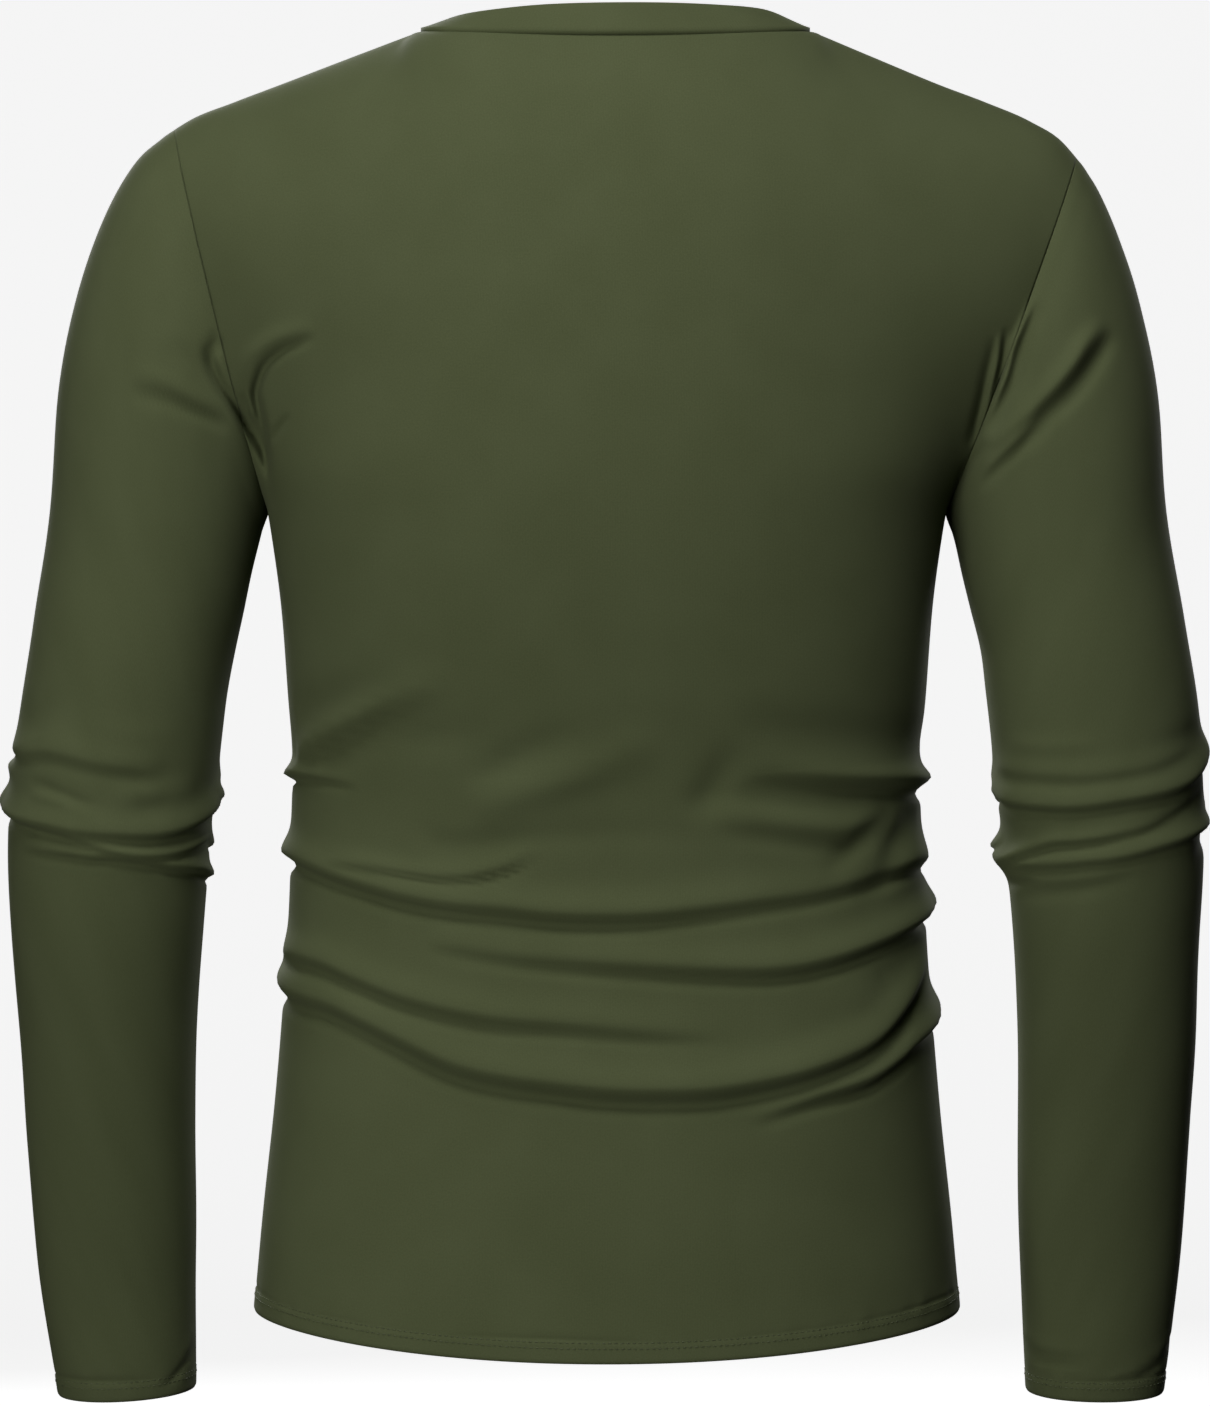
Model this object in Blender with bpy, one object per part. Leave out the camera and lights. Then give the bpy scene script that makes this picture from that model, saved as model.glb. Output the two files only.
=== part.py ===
"""A slim long-sleeve knit T-shirt with a round neckband, filled out as if worn.

Five cut pieces, each a thin closed wall of cloth: back, front, two sleeves and
the neckband. The wearer's left is +X, the back faces +Y and the height is Z.
The origin is in the middle of the shirt, level with the places where the
shoulder seams meet the neckband, within 2 mm.
"""

import bmesh
import bpy
import numpy as np

MM = 0.001
WALL = 1.5  # thickness of the cloth, in mm like every size below
SEAM = 0.3  # gap between two pieces that are sewn together
BAND_WALL = 2.2  # the neckband is folded double
OLIVE = (0.062, 0.072, 0.036, 1.0)

NECK_SHIFT = -4.3  # the neck sits a little towards the wearer's right
NECK_HALF_WIDTH = 98.4
NECK_RISE = 1.4  # height of the neck points, where the shoulder seams start
SHOULDER_Y = -5.0  # the shoulder seams run a little in front of the middle
BACK_NECK = {"depth": 65.0, "drop": 9.8, "drop_shape": 2.0}  # drop is from the neck points
FRONT_NECK = {"depth": 74.0, "drop": 87.4, "drop_shape": 1.1}
NECK_SHAPE = 0.92  # below 1 the neck opening is a little squarer than an ellipse
BAND_HEIGHT = 18.5
BAND_SWELL = ((1.0, -0.6), (0.5, 0.6), (SEAM / 2 / BAND_HEIGHT, 0.0))  # share of the height, outward
BAND_LEAN = {"sides": 0.89, "centre": 0.42, "up": 0.44, "up_centre": 0.47}

UNDERARM = {"left": (173.0, 244.0), "right": (173.0, 244.0)}  # out from the middle, down
TIP = {"left": (221.0, 48.5), "right": (240.0, 63.0)}  # shoulder end of each armhole
ARMHOLE_DEPTH = 56.0
ARMHOLE_TURN = (-0.8, 0.1)  # rise along the armhole over which the wall turns to face into it
SEAM_MIDDLE = (244.0, 320.0)  # the side seams run back to the middle between these downs
SIDES = {"left": 1.0, "right": -1.0}

BODY_SQUARE = 2.3  # exponent of the body's rounded sections, 2 is an ellipse
SLEEVE_SQUARE = 2.2
SAG_SHAPE = 1.8  # how fast a sagging row rises towards the side seams
SLANT_LEAN = (1.7, 1.3)  # sideways to forward where a row slants to the sleeve, low and high
SLANT_FROM = (0.0, 0.6)  # share of the way up the armhole over which the rows turn slanting
TOP_SPREAD = 55.0  # degrees over which the low rows even out the line of the top edge

BACK_COLUMNS, BACK_NECK_COLUMNS = 30, 7  # all across, and neck centre to neck point
FRONT_COLUMNS, FRONT_NECK_COLUMNS = 24, 6
ARMHOLE_STEPS = 9  # from the underarm to the shoulder tip
FOLD_ZONE = (366.0, 532.0)  # the stretch of the body with the waist folds
FOLD_ROW = 7.2  # spacing of the rows there
PLAIN_ROWS_ABOVE = (244.0, 258.0, 280.0, 308.0, 338.0)
PLAIN_ROWS_BELOW = (545.0, 567.0, 595.0, 624.0, 650.0)


def table(columns, *rows):
    """Rows of numbers as one array for each named column."""
    return dict(zip(columns.split(), np.array(rows, float).T))


# Rows of the body under the armholes: half width at the side seams, and how far
# a row sags in the middle of the back and of the front.
BODY = table(
    "down half back_sag front_sag",
    (244, 173.0, 0, 0),
    (290, 166.5, 3, 2),
    (340, 162.5, 9, 4),
    (366, 160.5, 13, 6),
    (400, 161.0, 21, 8),
    (430, 161.7, 30, 9),
    (460, 163.0, 38, 10),
    (490, 165.0, 43, 10),
    (545, 169.5, 37, 9),
    (606, 176.0, 24, 8),
    (650, 180.0, 15, 8),
)
# Centre lines from the neck seam to the hem: how far out the cloth stands.
BACK_CENTRE = table(
    "down out", (8, 60), (40, 80), (80, 97), (130, 111), (180, 118), (215, 119.5), (244, 119),
    (290, 115), (340, 108), (366, 103), (400, 99), (440, 98), (483, 101), (545, 107), (606, 112),
    (665, 115),
)
FRONT_CENTRE = table(
    "down out", (86, 79), (115, 95), (150, 109), (195, 118), (244, 119.5), (290, 117),
    (340, 113), (400, 109), (483, 108), (545, 110), (606, 112), (665, 113),
)

# How far each shoulder seam stands over a straight line, along its share from the neck.
SHOULDER_BULGE = {
    "left": table("share rise", (0, 0), (0.5, 0.7), (0.75, 1.5), (0.93, 1.6), (1, 0)),
    "right": table("share rise", (0, 0), (0.19, 2.7), (0.46, 4.4), (0.64, 6.2), (0.82, 7.0), (0.94, 4.7),
                   (1, 0)),
}

# Rings of each sleeve, from the armhole to the cuff: where the ring's inner and
# outer ends lie, how far forward or back its middle is, and its depth each way.
RINGS = "inner inner_down outer outer_down middle back front"
LEFT_RINGS = table(
    RINGS,
    (173.0, 244.0, 221.0, 48.5, -5, 56, 56),
    (175.5, 250.0, 240.0, 65.0, -3, 59, 58),
    (178.0, 260.0, 257.5, 95.0, -2, 61, 59),
    (182.0, 277.0, 271.0, 135.0, -1, 61, 59),
    (185.5, 294.0, 280.0, 183.0, 0, 60, 57),
    (190.0, 315.0, 284.5, 247.0, 1, 58, 55),
    (193.5, 336.0, 291.5, 297.0, 3, 56, 53),
    (196.0, 358.0, 299.0, 342.0, 4, 54, 52),
    (199.0, 385.0, 303.5, 378.0, 4, 53, 52),
    (203.0, 416.0, 305.5, 416.0, 2, 52, 52),
    (206.5, 458.0, 304.5, 460.0, -4, 51, 50),
    (210.5, 512.0, 301.5, 513.0, -14, 47, 46),
    (212.0, 572.0, 298.5, 573.0, -26, 42, 41),
    (213.0, 633.0, 294.5, 633.5, -37, 37, 36),
    (214.0, 697.0, 286.5, 697.5, -47, 33, 32),
)
RIGHT_RINGS = table(
    RINGS,
    (173.0, 244.0, 240.0, 63.0, -5, 56, 56),
    (175.5, 251.0, 251.0, 80.0, -3, 59, 58),
    (178.5, 261.0, 262.0, 105.0, -2, 61, 59),
    (182.0, 277.0, 272.5, 138.0, -1, 61, 59),
    (186.0, 294.0, 281.0, 186.0, 0, 60, 57),
    (191.0, 315.0, 286.0, 248.0, 1, 58, 55),
    (193.5, 336.0, 294.0, 298.0, 3, 56, 53),
    (196.0, 358.0, 301.0, 342.0, 4, 54, 52),
    (198.5, 385.0, 303.5, 378.0, 4, 53, 52),
    (203.5, 416.0, 304.5, 416.0, 2, 52, 52),
    (207.5, 458.0, 303.0, 460.0, -4, 51, 50),
    (211.0, 512.0, 302.0, 513.0, -14, 47, 46),
    (212.0, 572.0, 300.0, 573.0, -26, 42, 41),
    (214.0, 633.0, 296.5, 633.5, -37, 37, 36),
    (217.0, 697.0, 290.0, 697.5, -47, 33, 32),
)
CUFF_DROP = 4.0  # the cuff's back edge hangs lower than its sides
CUFF_STATIONS = (12.5, 14.0)
RING_STATIONS = np.r_[0:3, 3:6:7j, 6.3:10.4:16j, 11:14:5j]

# Folds. A run gives points of the ridge: millimetres round the cloth from the
# centre of the back (wearer's left is plus, on a sleeve its outer side), down,
# and how high the ridge stands there. Below the ridge lies a sharper trough.
RUN = "round down rise"
LOWER_SIDE = 0.65  # width of a ridge's lower side, as a share of its upper one
TROUGH = {"below": 1.25, "wide": 0.6}  # as shares of the ridge's width


def fold(wide, under, *run):
    return {"wide": wide, "under": under, "run": table(RUN, *run)}


BACK_FOLDS = [
    fold(6, 0.6, (240, 380, 0), (213, 380, 4), (179, 380, 3), (138, 382, 0)),
    fold(6, 0.6, (-76, 382, 0), (-120, 382, 2.5), (-213, 381, 3.5), (-240, 381, 0)),
    fold(10, 0.6, (238, 415, 0), (213, 417, 4), (164, 422, 3.5), (104, 436, 4), (53, 442, 4),
         (-16, 445, 4), (-76, 438, 3), (-144, 426, 2.5), (-213, 422, 2), (-235, 422, 0)),
    fold(10, 0.6, (78, 461, 0), (23, 467, 2), (-21, 470, 3), (-86, 472, 4), (-144, 460, 4.5),
         (-175, 452, 4.5), (-213, 445, 4.5), (-240, 444, 0)),
    fold(10, 0.6, (235, 467, 0), (199, 467, 3), (158, 469, 4), (104, 486, 4), (53, 496, 3.5),
         (-21, 502, 2.5), (-60, 504, 0)),
    fold(11, 0.6, (240, 480, 0), (217, 483, 3), (154, 490, 4), (104, 507, 5), (53, 524, 5.5),
         (-6, 531, 6), (-71, 528, 6), (-124, 515, 6), (-163, 493, 5), (-188, 474, 2), (-200, 464, 0)),
    fold(10, 0.6, (-86, 540, 0), (-107, 534, 2), (-158, 519, 4), (-219, 498, 4.5), (-245, 494, 0)),
    fold(9, 0.6, (121, 426, 0), (78, 425, 2), (53, 420, 2), (33, 412, 0)),
    fold(14, 0.4, (180, 368, 0), (128, 349, 2.5), (83, 335, 0)),
]
FRONT_FOLDS = [
    fold(10, 0.5, (232, 416, 0), (190, 424, 3), (120, 440, 4), (40, 450, 3), (-40, 452, 0)),
    fold(10, 0.5, (40, 470, 0), (-50, 474, 3), (-120, 462, 4), (-190, 448, 4), (-235, 444, 0)),
    fold(11, 0.6, (232, 480, 0), (170, 494, 4), (90, 512, 5), (0, 520, 5), (-90, 515, 4),
         (-170, 503, 4), (-232, 497, 0)),
]
LEFT_ELBOW = [
    fold(7, 0.5, (100, 366, 0), (54, 366, 2), (21, 367, 2), (-16, 374, 1.4), (-35, 378, 0)),
    fold(8, 0.6, (118, 384, 0), (84, 391, 4.5), (48, 399, 3.4), (14, 404, 3.6), (-27, 407, 4),
         (-58, 400, 4), (-84, 390, 3.8), (-120, 383, 0)),
    fold(7, 0.5, (48, 413, 0), (0, 418, 2.5), (-42, 424, 2.6), (-84, 429, 3.2), (-112, 428, 0)),
]
RIGHT_ELBOW = [
    fold(8, 0.6, (110, 358, 0), (77, 366, 3.4), (37, 384, 3.8), (5, 390, 3.4), (-28, 393, 3.4),
         (-70, 389, 2.6), (-110, 384, 0)),
    fold(9, 0.3, (-40, 420, 0), (-66, 421, 4), (-84, 419, 6.5), (-120, 417, 0)),
    fold(7, 0.6, (110, 399, 0), (75, 402, 3), (40, 409, 3.8), (2, 418, 3.4), (-35, 422, 2.8),
         (-75, 424, 0)),
]
ELBOW_CROOK = [
    fold(7, 0.7, (90, 372, 0), (40, 370, 3), (-30, 372, 4), (-85, 380, 0)),
    fold(7, 0.7, (92, 392, 0), (30, 396, 4), (-40, 394, 4), (-90, 386, 0)),
    fold(6, 0.7, (85, 418, 0), (20, 420, 3), (-50, 416, 4), (-92, 410, 0)),
]


def smooth(keys, values, at):
    """A smooth curve through values at rising keys, read at the given places."""
    keys, values = np.asarray(keys, float), np.asarray(values, float)
    slopes = np.gradient(values, keys)
    i = np.clip(np.searchsorted(keys, at) - 1, 0, len(keys) - 2)
    span = keys[i + 1] - keys[i]
    t = np.clip((at - keys[i]) / span, 0, 1)
    ends = values[i] * (1 + 2 * t) * (1 - t) ** 2 + values[i + 1] * t**2 * (3 - 2 * t)
    return ends + span * t * (1 - t) * (slopes[i] * (1 - t) - slopes[i + 1] * t)


def blend(low, high, at):
    """0 below low, 1 above high, with an easy start and end."""
    t = np.clip((at - low) / (high - low), 0, 1)
    return t * t * (3 - 2 * t)


def unit(vectors):
    return vectors / np.linalg.norm(vectors, axis=-1, keepdims=True)


def rounded(sine, square):
    """Depth of a rounded section where its sideways share is sine."""
    return (1 - np.abs(sine) ** square).clip(0) ** (1 / square)


def vectors(*parts):
    """One array of 3-D vectors from its x, y and z."""
    return np.stack(np.broadcast_arrays(*parts), -1).astype(float)


def lift(folds, around, down):
    """How far the folds raise the cloth at each place."""
    here = np.stack([around, -down], -1)[..., None, :]
    total = np.zeros(around.shape)
    for one in folds:
        run = one["run"]
        steps = np.arange(len(run["round"]))
        fine = np.linspace(0, steps[-1], 3 * steps[-1] + 1)
        line = np.stack([smooth(steps, run["round"], fine), -smooth(steps, run["down"], fine)], -1)
        along = np.diff(line, axis=0)
        share = ((here - line[:-1]) * along).sum(-1) / (along**2).sum(-1)
        share = share.clip(0, 1)
        offset = here - line[:-1] - share[..., None] * along
        gap = np.linalg.norm(offset, axis=-1)
        nearest = gap.argmin(-1)[..., None]
        side = along[:, 1] * offset[..., 0] - along[:, 0] * offset[..., 1]
        above = np.take_along_axis(gap * np.sign(side), nearest, -1)[..., 0]
        place = np.take_along_axis(share, nearest, -1)[..., 0] + nearest[..., 0]
        height = np.interp(place, np.arange(len(fine)), smooth(steps, run["rise"], fine))
        wide = one["wide"]
        ridge = np.exp(-((above / np.where(above > 0, wide, LOWER_SIDE * wide)) ** 2))
        trough = np.exp(-(((above / wide + TROUGH["below"]) / TROUGH["wide"]) ** 2))
        total += height * (ridge - one["under"] * trough)
    return total


def armhole(side, turn):
    """Armhole points, their inward directions and the outward normal of its plane.

    turn is the angle round the armhole: -90 underarm, 0 back, 90 shoulder tip.
    """
    sign = SIDES[side]
    low = np.array([sign * UNDERARM[side][0], SHOULDER_Y, -UNDERARM[side][1]])
    high = np.array([sign * TIP[side][0], SHOULDER_Y, -TIP[side][1]])
    sine, cosine = np.sin(np.radians(turn)), np.cos(np.radians(turn))
    rise = (1 + sine)[..., None] / 2
    points = low + (high - low) * rise
    points[..., 1] += np.sign(cosine.round(6)) * ARMHOLE_DEPTH * rounded(sine, SLEEVE_SQUARE)
    reach = np.linalg.norm(high - low) / 2
    up = unit(high - low)
    inward = -unit(up * (sine / reach)[..., None] + vectors(0, 1, 0) * (cosine / ARMHOLE_DEPTH)[..., None])
    outward = np.cross(up, (0, -sign, 0))
    return points, inward, outward


def neckline(ahead, turn):
    """Points of the neck seam; turn is 0 at the centre and 90 at a neck point."""
    cut = BACK_NECK if ahead > 0 else FRONT_NECK
    sine, cosine = np.sin(np.radians(turn)), np.cos(np.radians(turn)).clip(0)
    return vectors(NECK_SHIFT + NECK_HALF_WIDTH * sine,
                   SHOULDER_Y + ahead * cut["depth"] * cosine**NECK_SHAPE,
                   NECK_RISE - cut["drop"] * cosine ** cut["drop_shape"])


def band_direction(ahead, turn):
    """The way the neckband stands up from the neck seam, and its outer side."""
    cosine, sine = np.cos(np.radians(turn)).clip(0), np.sin(np.radians(turn))
    stand = unit(vectors(-BAND_LEAN["sides"] * sine, -ahead * BAND_LEAN["centre"] * cosine,
                         BAND_LEAN["up"] + BAND_LEAN["up_centre"] * cosine))
    step = 1e-3
    along = unit(neckline(ahead, turn + step) - neckline(ahead, turn - step))
    return stand, unit(np.cross(along, stand)) * ahead


def panel_angles(columns, neck_columns):
    """Column angles across a panel, and the angle where the neck points lie."""
    angles = np.linspace(-90, 90, columns + 1)
    return angles, neck_columns * 180 / columns


def body_rows():
    """Downs of the level rows, and the armhole angles of the rows above them."""
    start, stop = FOLD_ZONE
    zone = np.linspace(start, stop, round((stop - start) / FOLD_ROW) + 1)
    downs = np.r_[PLAIN_ROWS_ABOVE, zone, PLAIN_ROWS_BELOW]
    return downs, np.linspace(90, -90, ARMHOLE_STEPS + 1)[:-1]


def half_panel(side, ahead, angles, neck_angle):
    """Points of one half of the back or the front, from its centre line outwards."""
    sign = SIDES[side]
    downs, turns = body_rows()
    centre_line = BACK_CENTRE if ahead > 0 else FRONT_CENTRE
    share = (1 + np.sin(np.radians(turns))) / 2
    # Centre and edge of every row: first those that end on the armhole, then the level ones.
    top_down = downs[0] + (centre_line["down"][0] - downs[0]) * share
    top_out = smooth(centre_line["down"], centre_line["out"], top_down)
    sag = smooth(BODY["down"], BODY["back_sag" if ahead > 0 else "front_sag"], downs)
    depth = smooth(centre_line["down"], centre_line["out"], downs + sag)
    half = smooth(BODY["down"], BODY["half"], downs)
    top_centre = vectors(NECK_SHIFT * share**2, ahead * top_out, -top_down)
    low_centre = vectors(0, ahead * depth, -downs - sag)
    top_edge = armhole(side, turns)[0]
    top_edge[:, 1] = SHOULDER_Y + ahead * (top_edge[:, 1] - SHOULDER_Y)
    seam_y = SHOULDER_Y * (1 - blend(*SEAM_MIDDLE, downs))
    centre = np.r_[top_centre, low_centre][:, None]
    edge = np.r_[top_edge, vectors(sign * half, seam_y, -downs)][:, None]
    sine = np.sin(np.radians(angles))
    rise = 1 - np.cos(np.radians(angles)).clip(0) ** SAG_SHAPE
    across = (edge - centre)[..., 0]
    forward = np.abs(edge - centre)[..., 1]
    # Low rows are a rounded section as far as the armhole cuts it, and high rows
    # slant towards the sleeve instead.
    kept = 1 - forward / np.abs(centre[..., 1] - SHOULDER_Y)
    kept[len(share):] = 0
    reach = (1 - kept.clip(0) ** BODY_SQUARE) ** (1 / BODY_SQUARE)
    cut = (1 - rounded(reach * sine, BODY_SQUARE)) / (1 - kept)
    past = 1 - rounded(sine, BODY_SQUARE)
    lean = SLANT_LEAN[0] + (SLANT_LEAN[1] - SLANT_LEAN[0]) * np.r_[share, 0 * downs][:, None]
    slant = sign * (sign * across - forward * lean) * sine + sign * forward * lean * past
    high = np.r_[blend(*SLANT_FROM, share), 0 * downs][:, None]
    points = vectors(
        centre[..., 0] + high * slant + (1 - high) * across * sine,
        centre[..., 1] + (edge - centre)[..., 1] * (high * past + (1 - high) * cut),
        centre[..., 2] + (edge - centre)[..., 2] * rise,
    )
    # The top row is drawn onto the neckline and the shoulder seam, and the rows
    # below follow it less and less, and more evenly.
    onto = top_line(side, ahead, angles, neck_angle) - points[0]
    for row, part in enumerate(share):
        weight = np.array([part**3, part**5, np.sin(np.pi / 2 * part) ** 2])
        points[row] += spread(onto, angles, TOP_SPREAD * (1 - part)) * weight
    return points


def spread(values, angles, width):
    """Values along a half panel, evened out over some degrees to each side."""
    if width < 1:
        return values
    apart = angles[:, None] - angles
    near = np.exp(-((apart / width) ** 2))
    mirrored = np.exp(-(((angles[:, None] + angles) / width) ** 2))
    beyond = np.exp(-(((180 - angles[:, None] - angles) / width) ** 2))
    total = (near + mirrored + beyond).sum(1)[:, None]
    return (near @ values + mirrored @ (values * (-1, 1, 1)) - beyond @ values) / total


def top_line(side, ahead, angles, neck_angle):
    """The top edge of a panel: half the neckline, then the shoulder seam."""
    sign = SIDES[side]
    neck = neckline(ahead, sign * np.minimum(angles / neck_angle, 1) * 90)
    tip = np.array([sign * TIP[side][0], SHOULDER_Y, -TIP[side][1]])
    out = ((angles - neck_angle) / (90 - neck_angle)).clip(0, 1)
    bulge = smooth(SHOULDER_BULGE[side]["share"], SHOULDER_BULGE[side]["rise"], out)
    return neck + (tip - neck) * out[:, None] + vectors(0, 0, bulge)


def panel_base(ahead):
    """The smooth grid of the back (ahead = 1) or the front (ahead = -1)."""
    columns, neck_columns = (
        (BACK_COLUMNS, BACK_NECK_COLUMNS) if ahead > 0 else (FRONT_COLUMNS, FRONT_NECK_COLUMNS))
    angles, neck_angle = panel_angles(columns, neck_columns)
    out = angles[angles >= 0]
    right = half_panel("right", ahead, out, neck_angle)[:, ::-1]
    left = half_panel("left", ahead, out, neck_angle)
    return np.concatenate([right[:, :-1], left], 1), angles, neck_angle


def lengths_from_centre(points):
    """Distance along each row from its middle point, minus on the wearer's right."""
    steps = np.linalg.norm(np.diff(points, axis=1), axis=-1)
    along = np.concatenate([np.zeros((len(points), 1)), steps.cumsum(1)], 1)
    return along - along[:, along.shape[1] // 2][:, None]


def which_side(around):
    """-1 on the minus side and 1 on the other, the middle included."""
    return np.where(around < 0, -1, 1)


def grid_normals(points):
    return unit(np.cross(np.gradient(points, axis=1), np.gradient(points, axis=0)))


def panel(ahead):
    """Outer and inner points of the back or the front, folds and seam gaps included."""
    base, angles, neck_angle = panel_base(ahead)
    other = panel_base(-ahead)[0]
    own = lengths_from_centre(base)
    reach = np.where(own > 0, lengths_from_centre(other)[:, -1:], -lengths_from_centre(other)[:, :1])
    quarter = np.where(own > 0, own[:, -1:], -own[:, :1])
    opposite = which_side(own) * (quarter + reach - np.abs(own))
    from_back, from_front = (own, opposite) if ahead > 0 else (opposite, own)
    down = -base[..., 2]
    raised = lift(BACK_FOLDS, from_back, down) + lift(FRONT_FOLDS, from_front, down)
    # The folds die out before the armholes and the top.
    turns = body_rows()[1]
    raised[: len(turns)] *= 0

    normals = grid_normals(base) * ahead
    inward = -normals
    inward[len(turns):, 0] = (1, 0, 0)
    inward[len(turns):, -1] = (-1, 0, 0)
    gap = np.zeros_like(base)
    for side, column in (("left", -1), ("right", 0)):
        inner, outward = armhole(side, turns)[1:]
        inner[:, 1] *= ahead
        high = blend(*ARMHOLE_TURN, np.sin(np.radians(turns)))[:, None]
        inward[: len(turns), column] = unit(high * inner + (1 - high) * inward[len(turns), column])
        gap[: len(turns) + 1, column] -= outward * SEAM / 2
        gap[len(turns):, column] += (0, ahead * SEAM / 2, 0)
    on_neck = np.abs(angles) <= neck_angle + 1e-6
    stand, outer = band_direction(ahead, angles[on_neck] / neck_angle * 90)
    inward[0, on_neck] = -outer
    gap[0, on_neck] -= stand * SEAM / 2
    for side, sign in SIDES.items():
        on_seam = (sign * angles > neck_angle + 1e-6) & (np.abs(angles) < 90)
        fall = (TIP[side][1], TIP[side][0] - NECK_HALF_WIDTH - sign * NECK_SHIFT)
        inward[0, on_seam] = unit(np.array([-sign * fall[0], 0, -fall[1]]))
    gap[0, np.abs(angles) >= neck_angle - 1e-6] += (0, ahead * SEAM / 2, 0)
    outer_points = base + normals_for_folds(normals, len(turns)) * raised[..., None]
    return outer_points + gap, outer_points + gap + inward * WALL


def normals_for_folds(normals, top_rows):
    """Folds lift the side seams straight out, so that both panels meet there."""
    normals = normals.copy()
    normals[top_rows:, 0] = (-1, 0, 0)
    normals[top_rows:, -1] = (1, 0, 0)
    return normals


def sleeve_base(side, turns):
    """The smooth rings of a sleeve, with the distance round each ring from its back."""
    rings = LEFT_RINGS if side == "left" else RIGHT_RINGS
    stations = np.arange(len(rings["inner"]))
    at = {name: smooth(stations, rings[name], RING_STATIONS)[:, None] for name in rings}
    sign = SIDES[side]

    def ring_points(turns):
        sine, cosine = np.sin(np.radians(turns)), np.cos(np.radians(turns))
        depth = np.where(cosine > 0, at["back"], -at["front"]) * rounded(sine, SLEEVE_SQUARE)
        middle = (at["inner"] + at["outer"]) / 2, (at["inner_down"] + at["outer_down"]) / 2
        half = (at["outer"] - at["inner"]) / 2, (at["outer_down"] - at["inner_down"]) / 2
        drop = CUFF_DROP * blend(*CUFF_STATIONS, RING_STATIONS)[:, None] * cosine
        return vectors(sign * (middle[0] + half[0] * sine), at["middle"] + depth,
                       -(middle[1] + half[1] * sine) - drop)

    fine = np.linspace(-180, 180, 361)
    steps = np.linalg.norm(np.diff(ring_points(fine), axis=1), axis=-1)
    along = np.concatenate([np.zeros((len(steps), 1)), steps.cumsum(1)], 1)
    along -= along[:, 180:181]
    wrapped = (turns + 180) % 360 - 180
    round_back = np.array([np.interp(wrapped, fine, row) for row in along])
    return ring_points(turns), round_back, along[:, -1:]


def sleeve(side):
    """Outer and inner points of a sleeve, ring by ring from the armhole."""
    turns = -90 + 180 / ARMHOLE_STEPS * np.arange(2 * ARMHOLE_STEPS)
    base, from_back, half_way = sleeve_base(side, turns)
    from_front = which_side(from_back) * (half_way - np.abs(from_back))
    down = -base[..., 2]
    elbow = LEFT_ELBOW if side == "left" else RIGHT_ELBOW
    raised = lift(elbow, from_back, down) + lift(ELBOW_CROOK, from_front, down)
    around = np.concatenate([base[:, -1:], base, base[:, :1]], 1)
    normals = np.cross(np.gradient(around, axis=1)[:, 1:-1], np.gradient(base, axis=0))
    normals = unit(normals) * SIDES[side]
    inward = -normals
    inner, outward = armhole(side, turns)[1:]
    high = blend(*ARMHOLE_TURN, np.sin(np.radians(turns)))[:, None]
    inward[0] = unit(high * inner + (1 - high) * inward[0])
    outer_points = base + normals * raised[..., None]
    outer_points[0] += outward * SEAM / 2
    return outer_points, outer_points + inward * WALL


def neckband():
    """Outer and inner points of the band, from the neck seam up, all round."""
    back = panel_angles(BACK_COLUMNS, BACK_NECK_COLUMNS)
    front = panel_angles(FRONT_COLUMNS, FRONT_NECK_COLUMNS)
    loops = []
    for ahead, (angles, neck_angle), order in ((1, back, 1), (-1, front, -1)):
        turns = angles[np.abs(angles) <= neck_angle + 1e-6][::order] / neck_angle * 90
        turns = turns[:-1]
        stand, outer = band_direction(ahead, turns)
        loops.append((neckline(ahead, turns), stand, outer))
    seam, stand, outer = (np.concatenate(parts) for parts in zip(*loops))
    outside = np.array([seam + stand * (BAND_HEIGHT * share) + outer * swell
                        for share, swell in BAND_SWELL])
    return outside, outside - outer * BAND_WALL


def shell(name, outside, inside, closed):
    """A closed wall between two grids of points; a closed one runs all round.

    Both skins split each of their quads along the same diagonal, the one that is
    shorter outside, so that they stay apart in steep folds.
    """
    rows, columns = outside.shape[:2]
    mesh_data = bmesh.new()
    skins = [
        [[mesh_data.verts.new(point * MM) for point in row] for row in skin]
        for skin in (outside, inside)
    ]
    last = columns if closed else columns - 1
    for row in range(rows - 1):
        for column in range(last):
            after = (column + 1) % columns
            corners = [(row, column), (row, after), (row + 1, after), (row + 1, column)]
            falling = np.linalg.norm(outside[corners[0]] - outside[corners[2]])
            if falling > np.linalg.norm(outside[corners[1]] - outside[corners[3]]):
                corners = corners[1:] + corners[:1]
            for skin in skins:
                a, b, c, d = (skin[i][j] for i, j in corners)
                mesh_data.faces.new((a, b, c))
                mesh_data.faces.new((a, c, d))
    outer, inner = skins
    rims = [[(row, column) for column in range(columns)] for row in (0, rows - 1)]
    if not closed:
        rims += [[(row, column) for row in range(rows)] for column in (0, columns - 1)]
    for rim in rims:
        pairs = list(zip(rim, rim[1:] + rim[:1])) if closed else list(zip(rim, rim[1:]))
        for (row, column), (next_row, next_column) in pairs:
            mesh_data.faces.new((outer[row][column], outer[next_row][next_column],
                                 inner[next_row][next_column], inner[row][column]))
    bmesh.ops.recalc_face_normals(mesh_data, faces=mesh_data.faces)
    mesh = bpy.data.meshes.new(name)
    mesh_data.to_mesh(mesh)
    mesh_data.free()
    mesh.shade_smooth()
    mesh.materials.append(jersey(name))
    bpy.context.scene.collection.objects.link(bpy.data.objects.new(name, mesh))


def jersey(name):
    """Dark olive cotton jersey."""
    material = bpy.data.materials.new(name + "_jersey")
    material.use_nodes = True
    surface = material.node_tree.nodes["Principled BSDF"]
    surface.inputs["Base Color"].default_value = OLIVE
    surface.inputs["Roughness"].default_value = 0.9
    surface.inputs["Metallic"].default_value = 0.0
    return material


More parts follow.
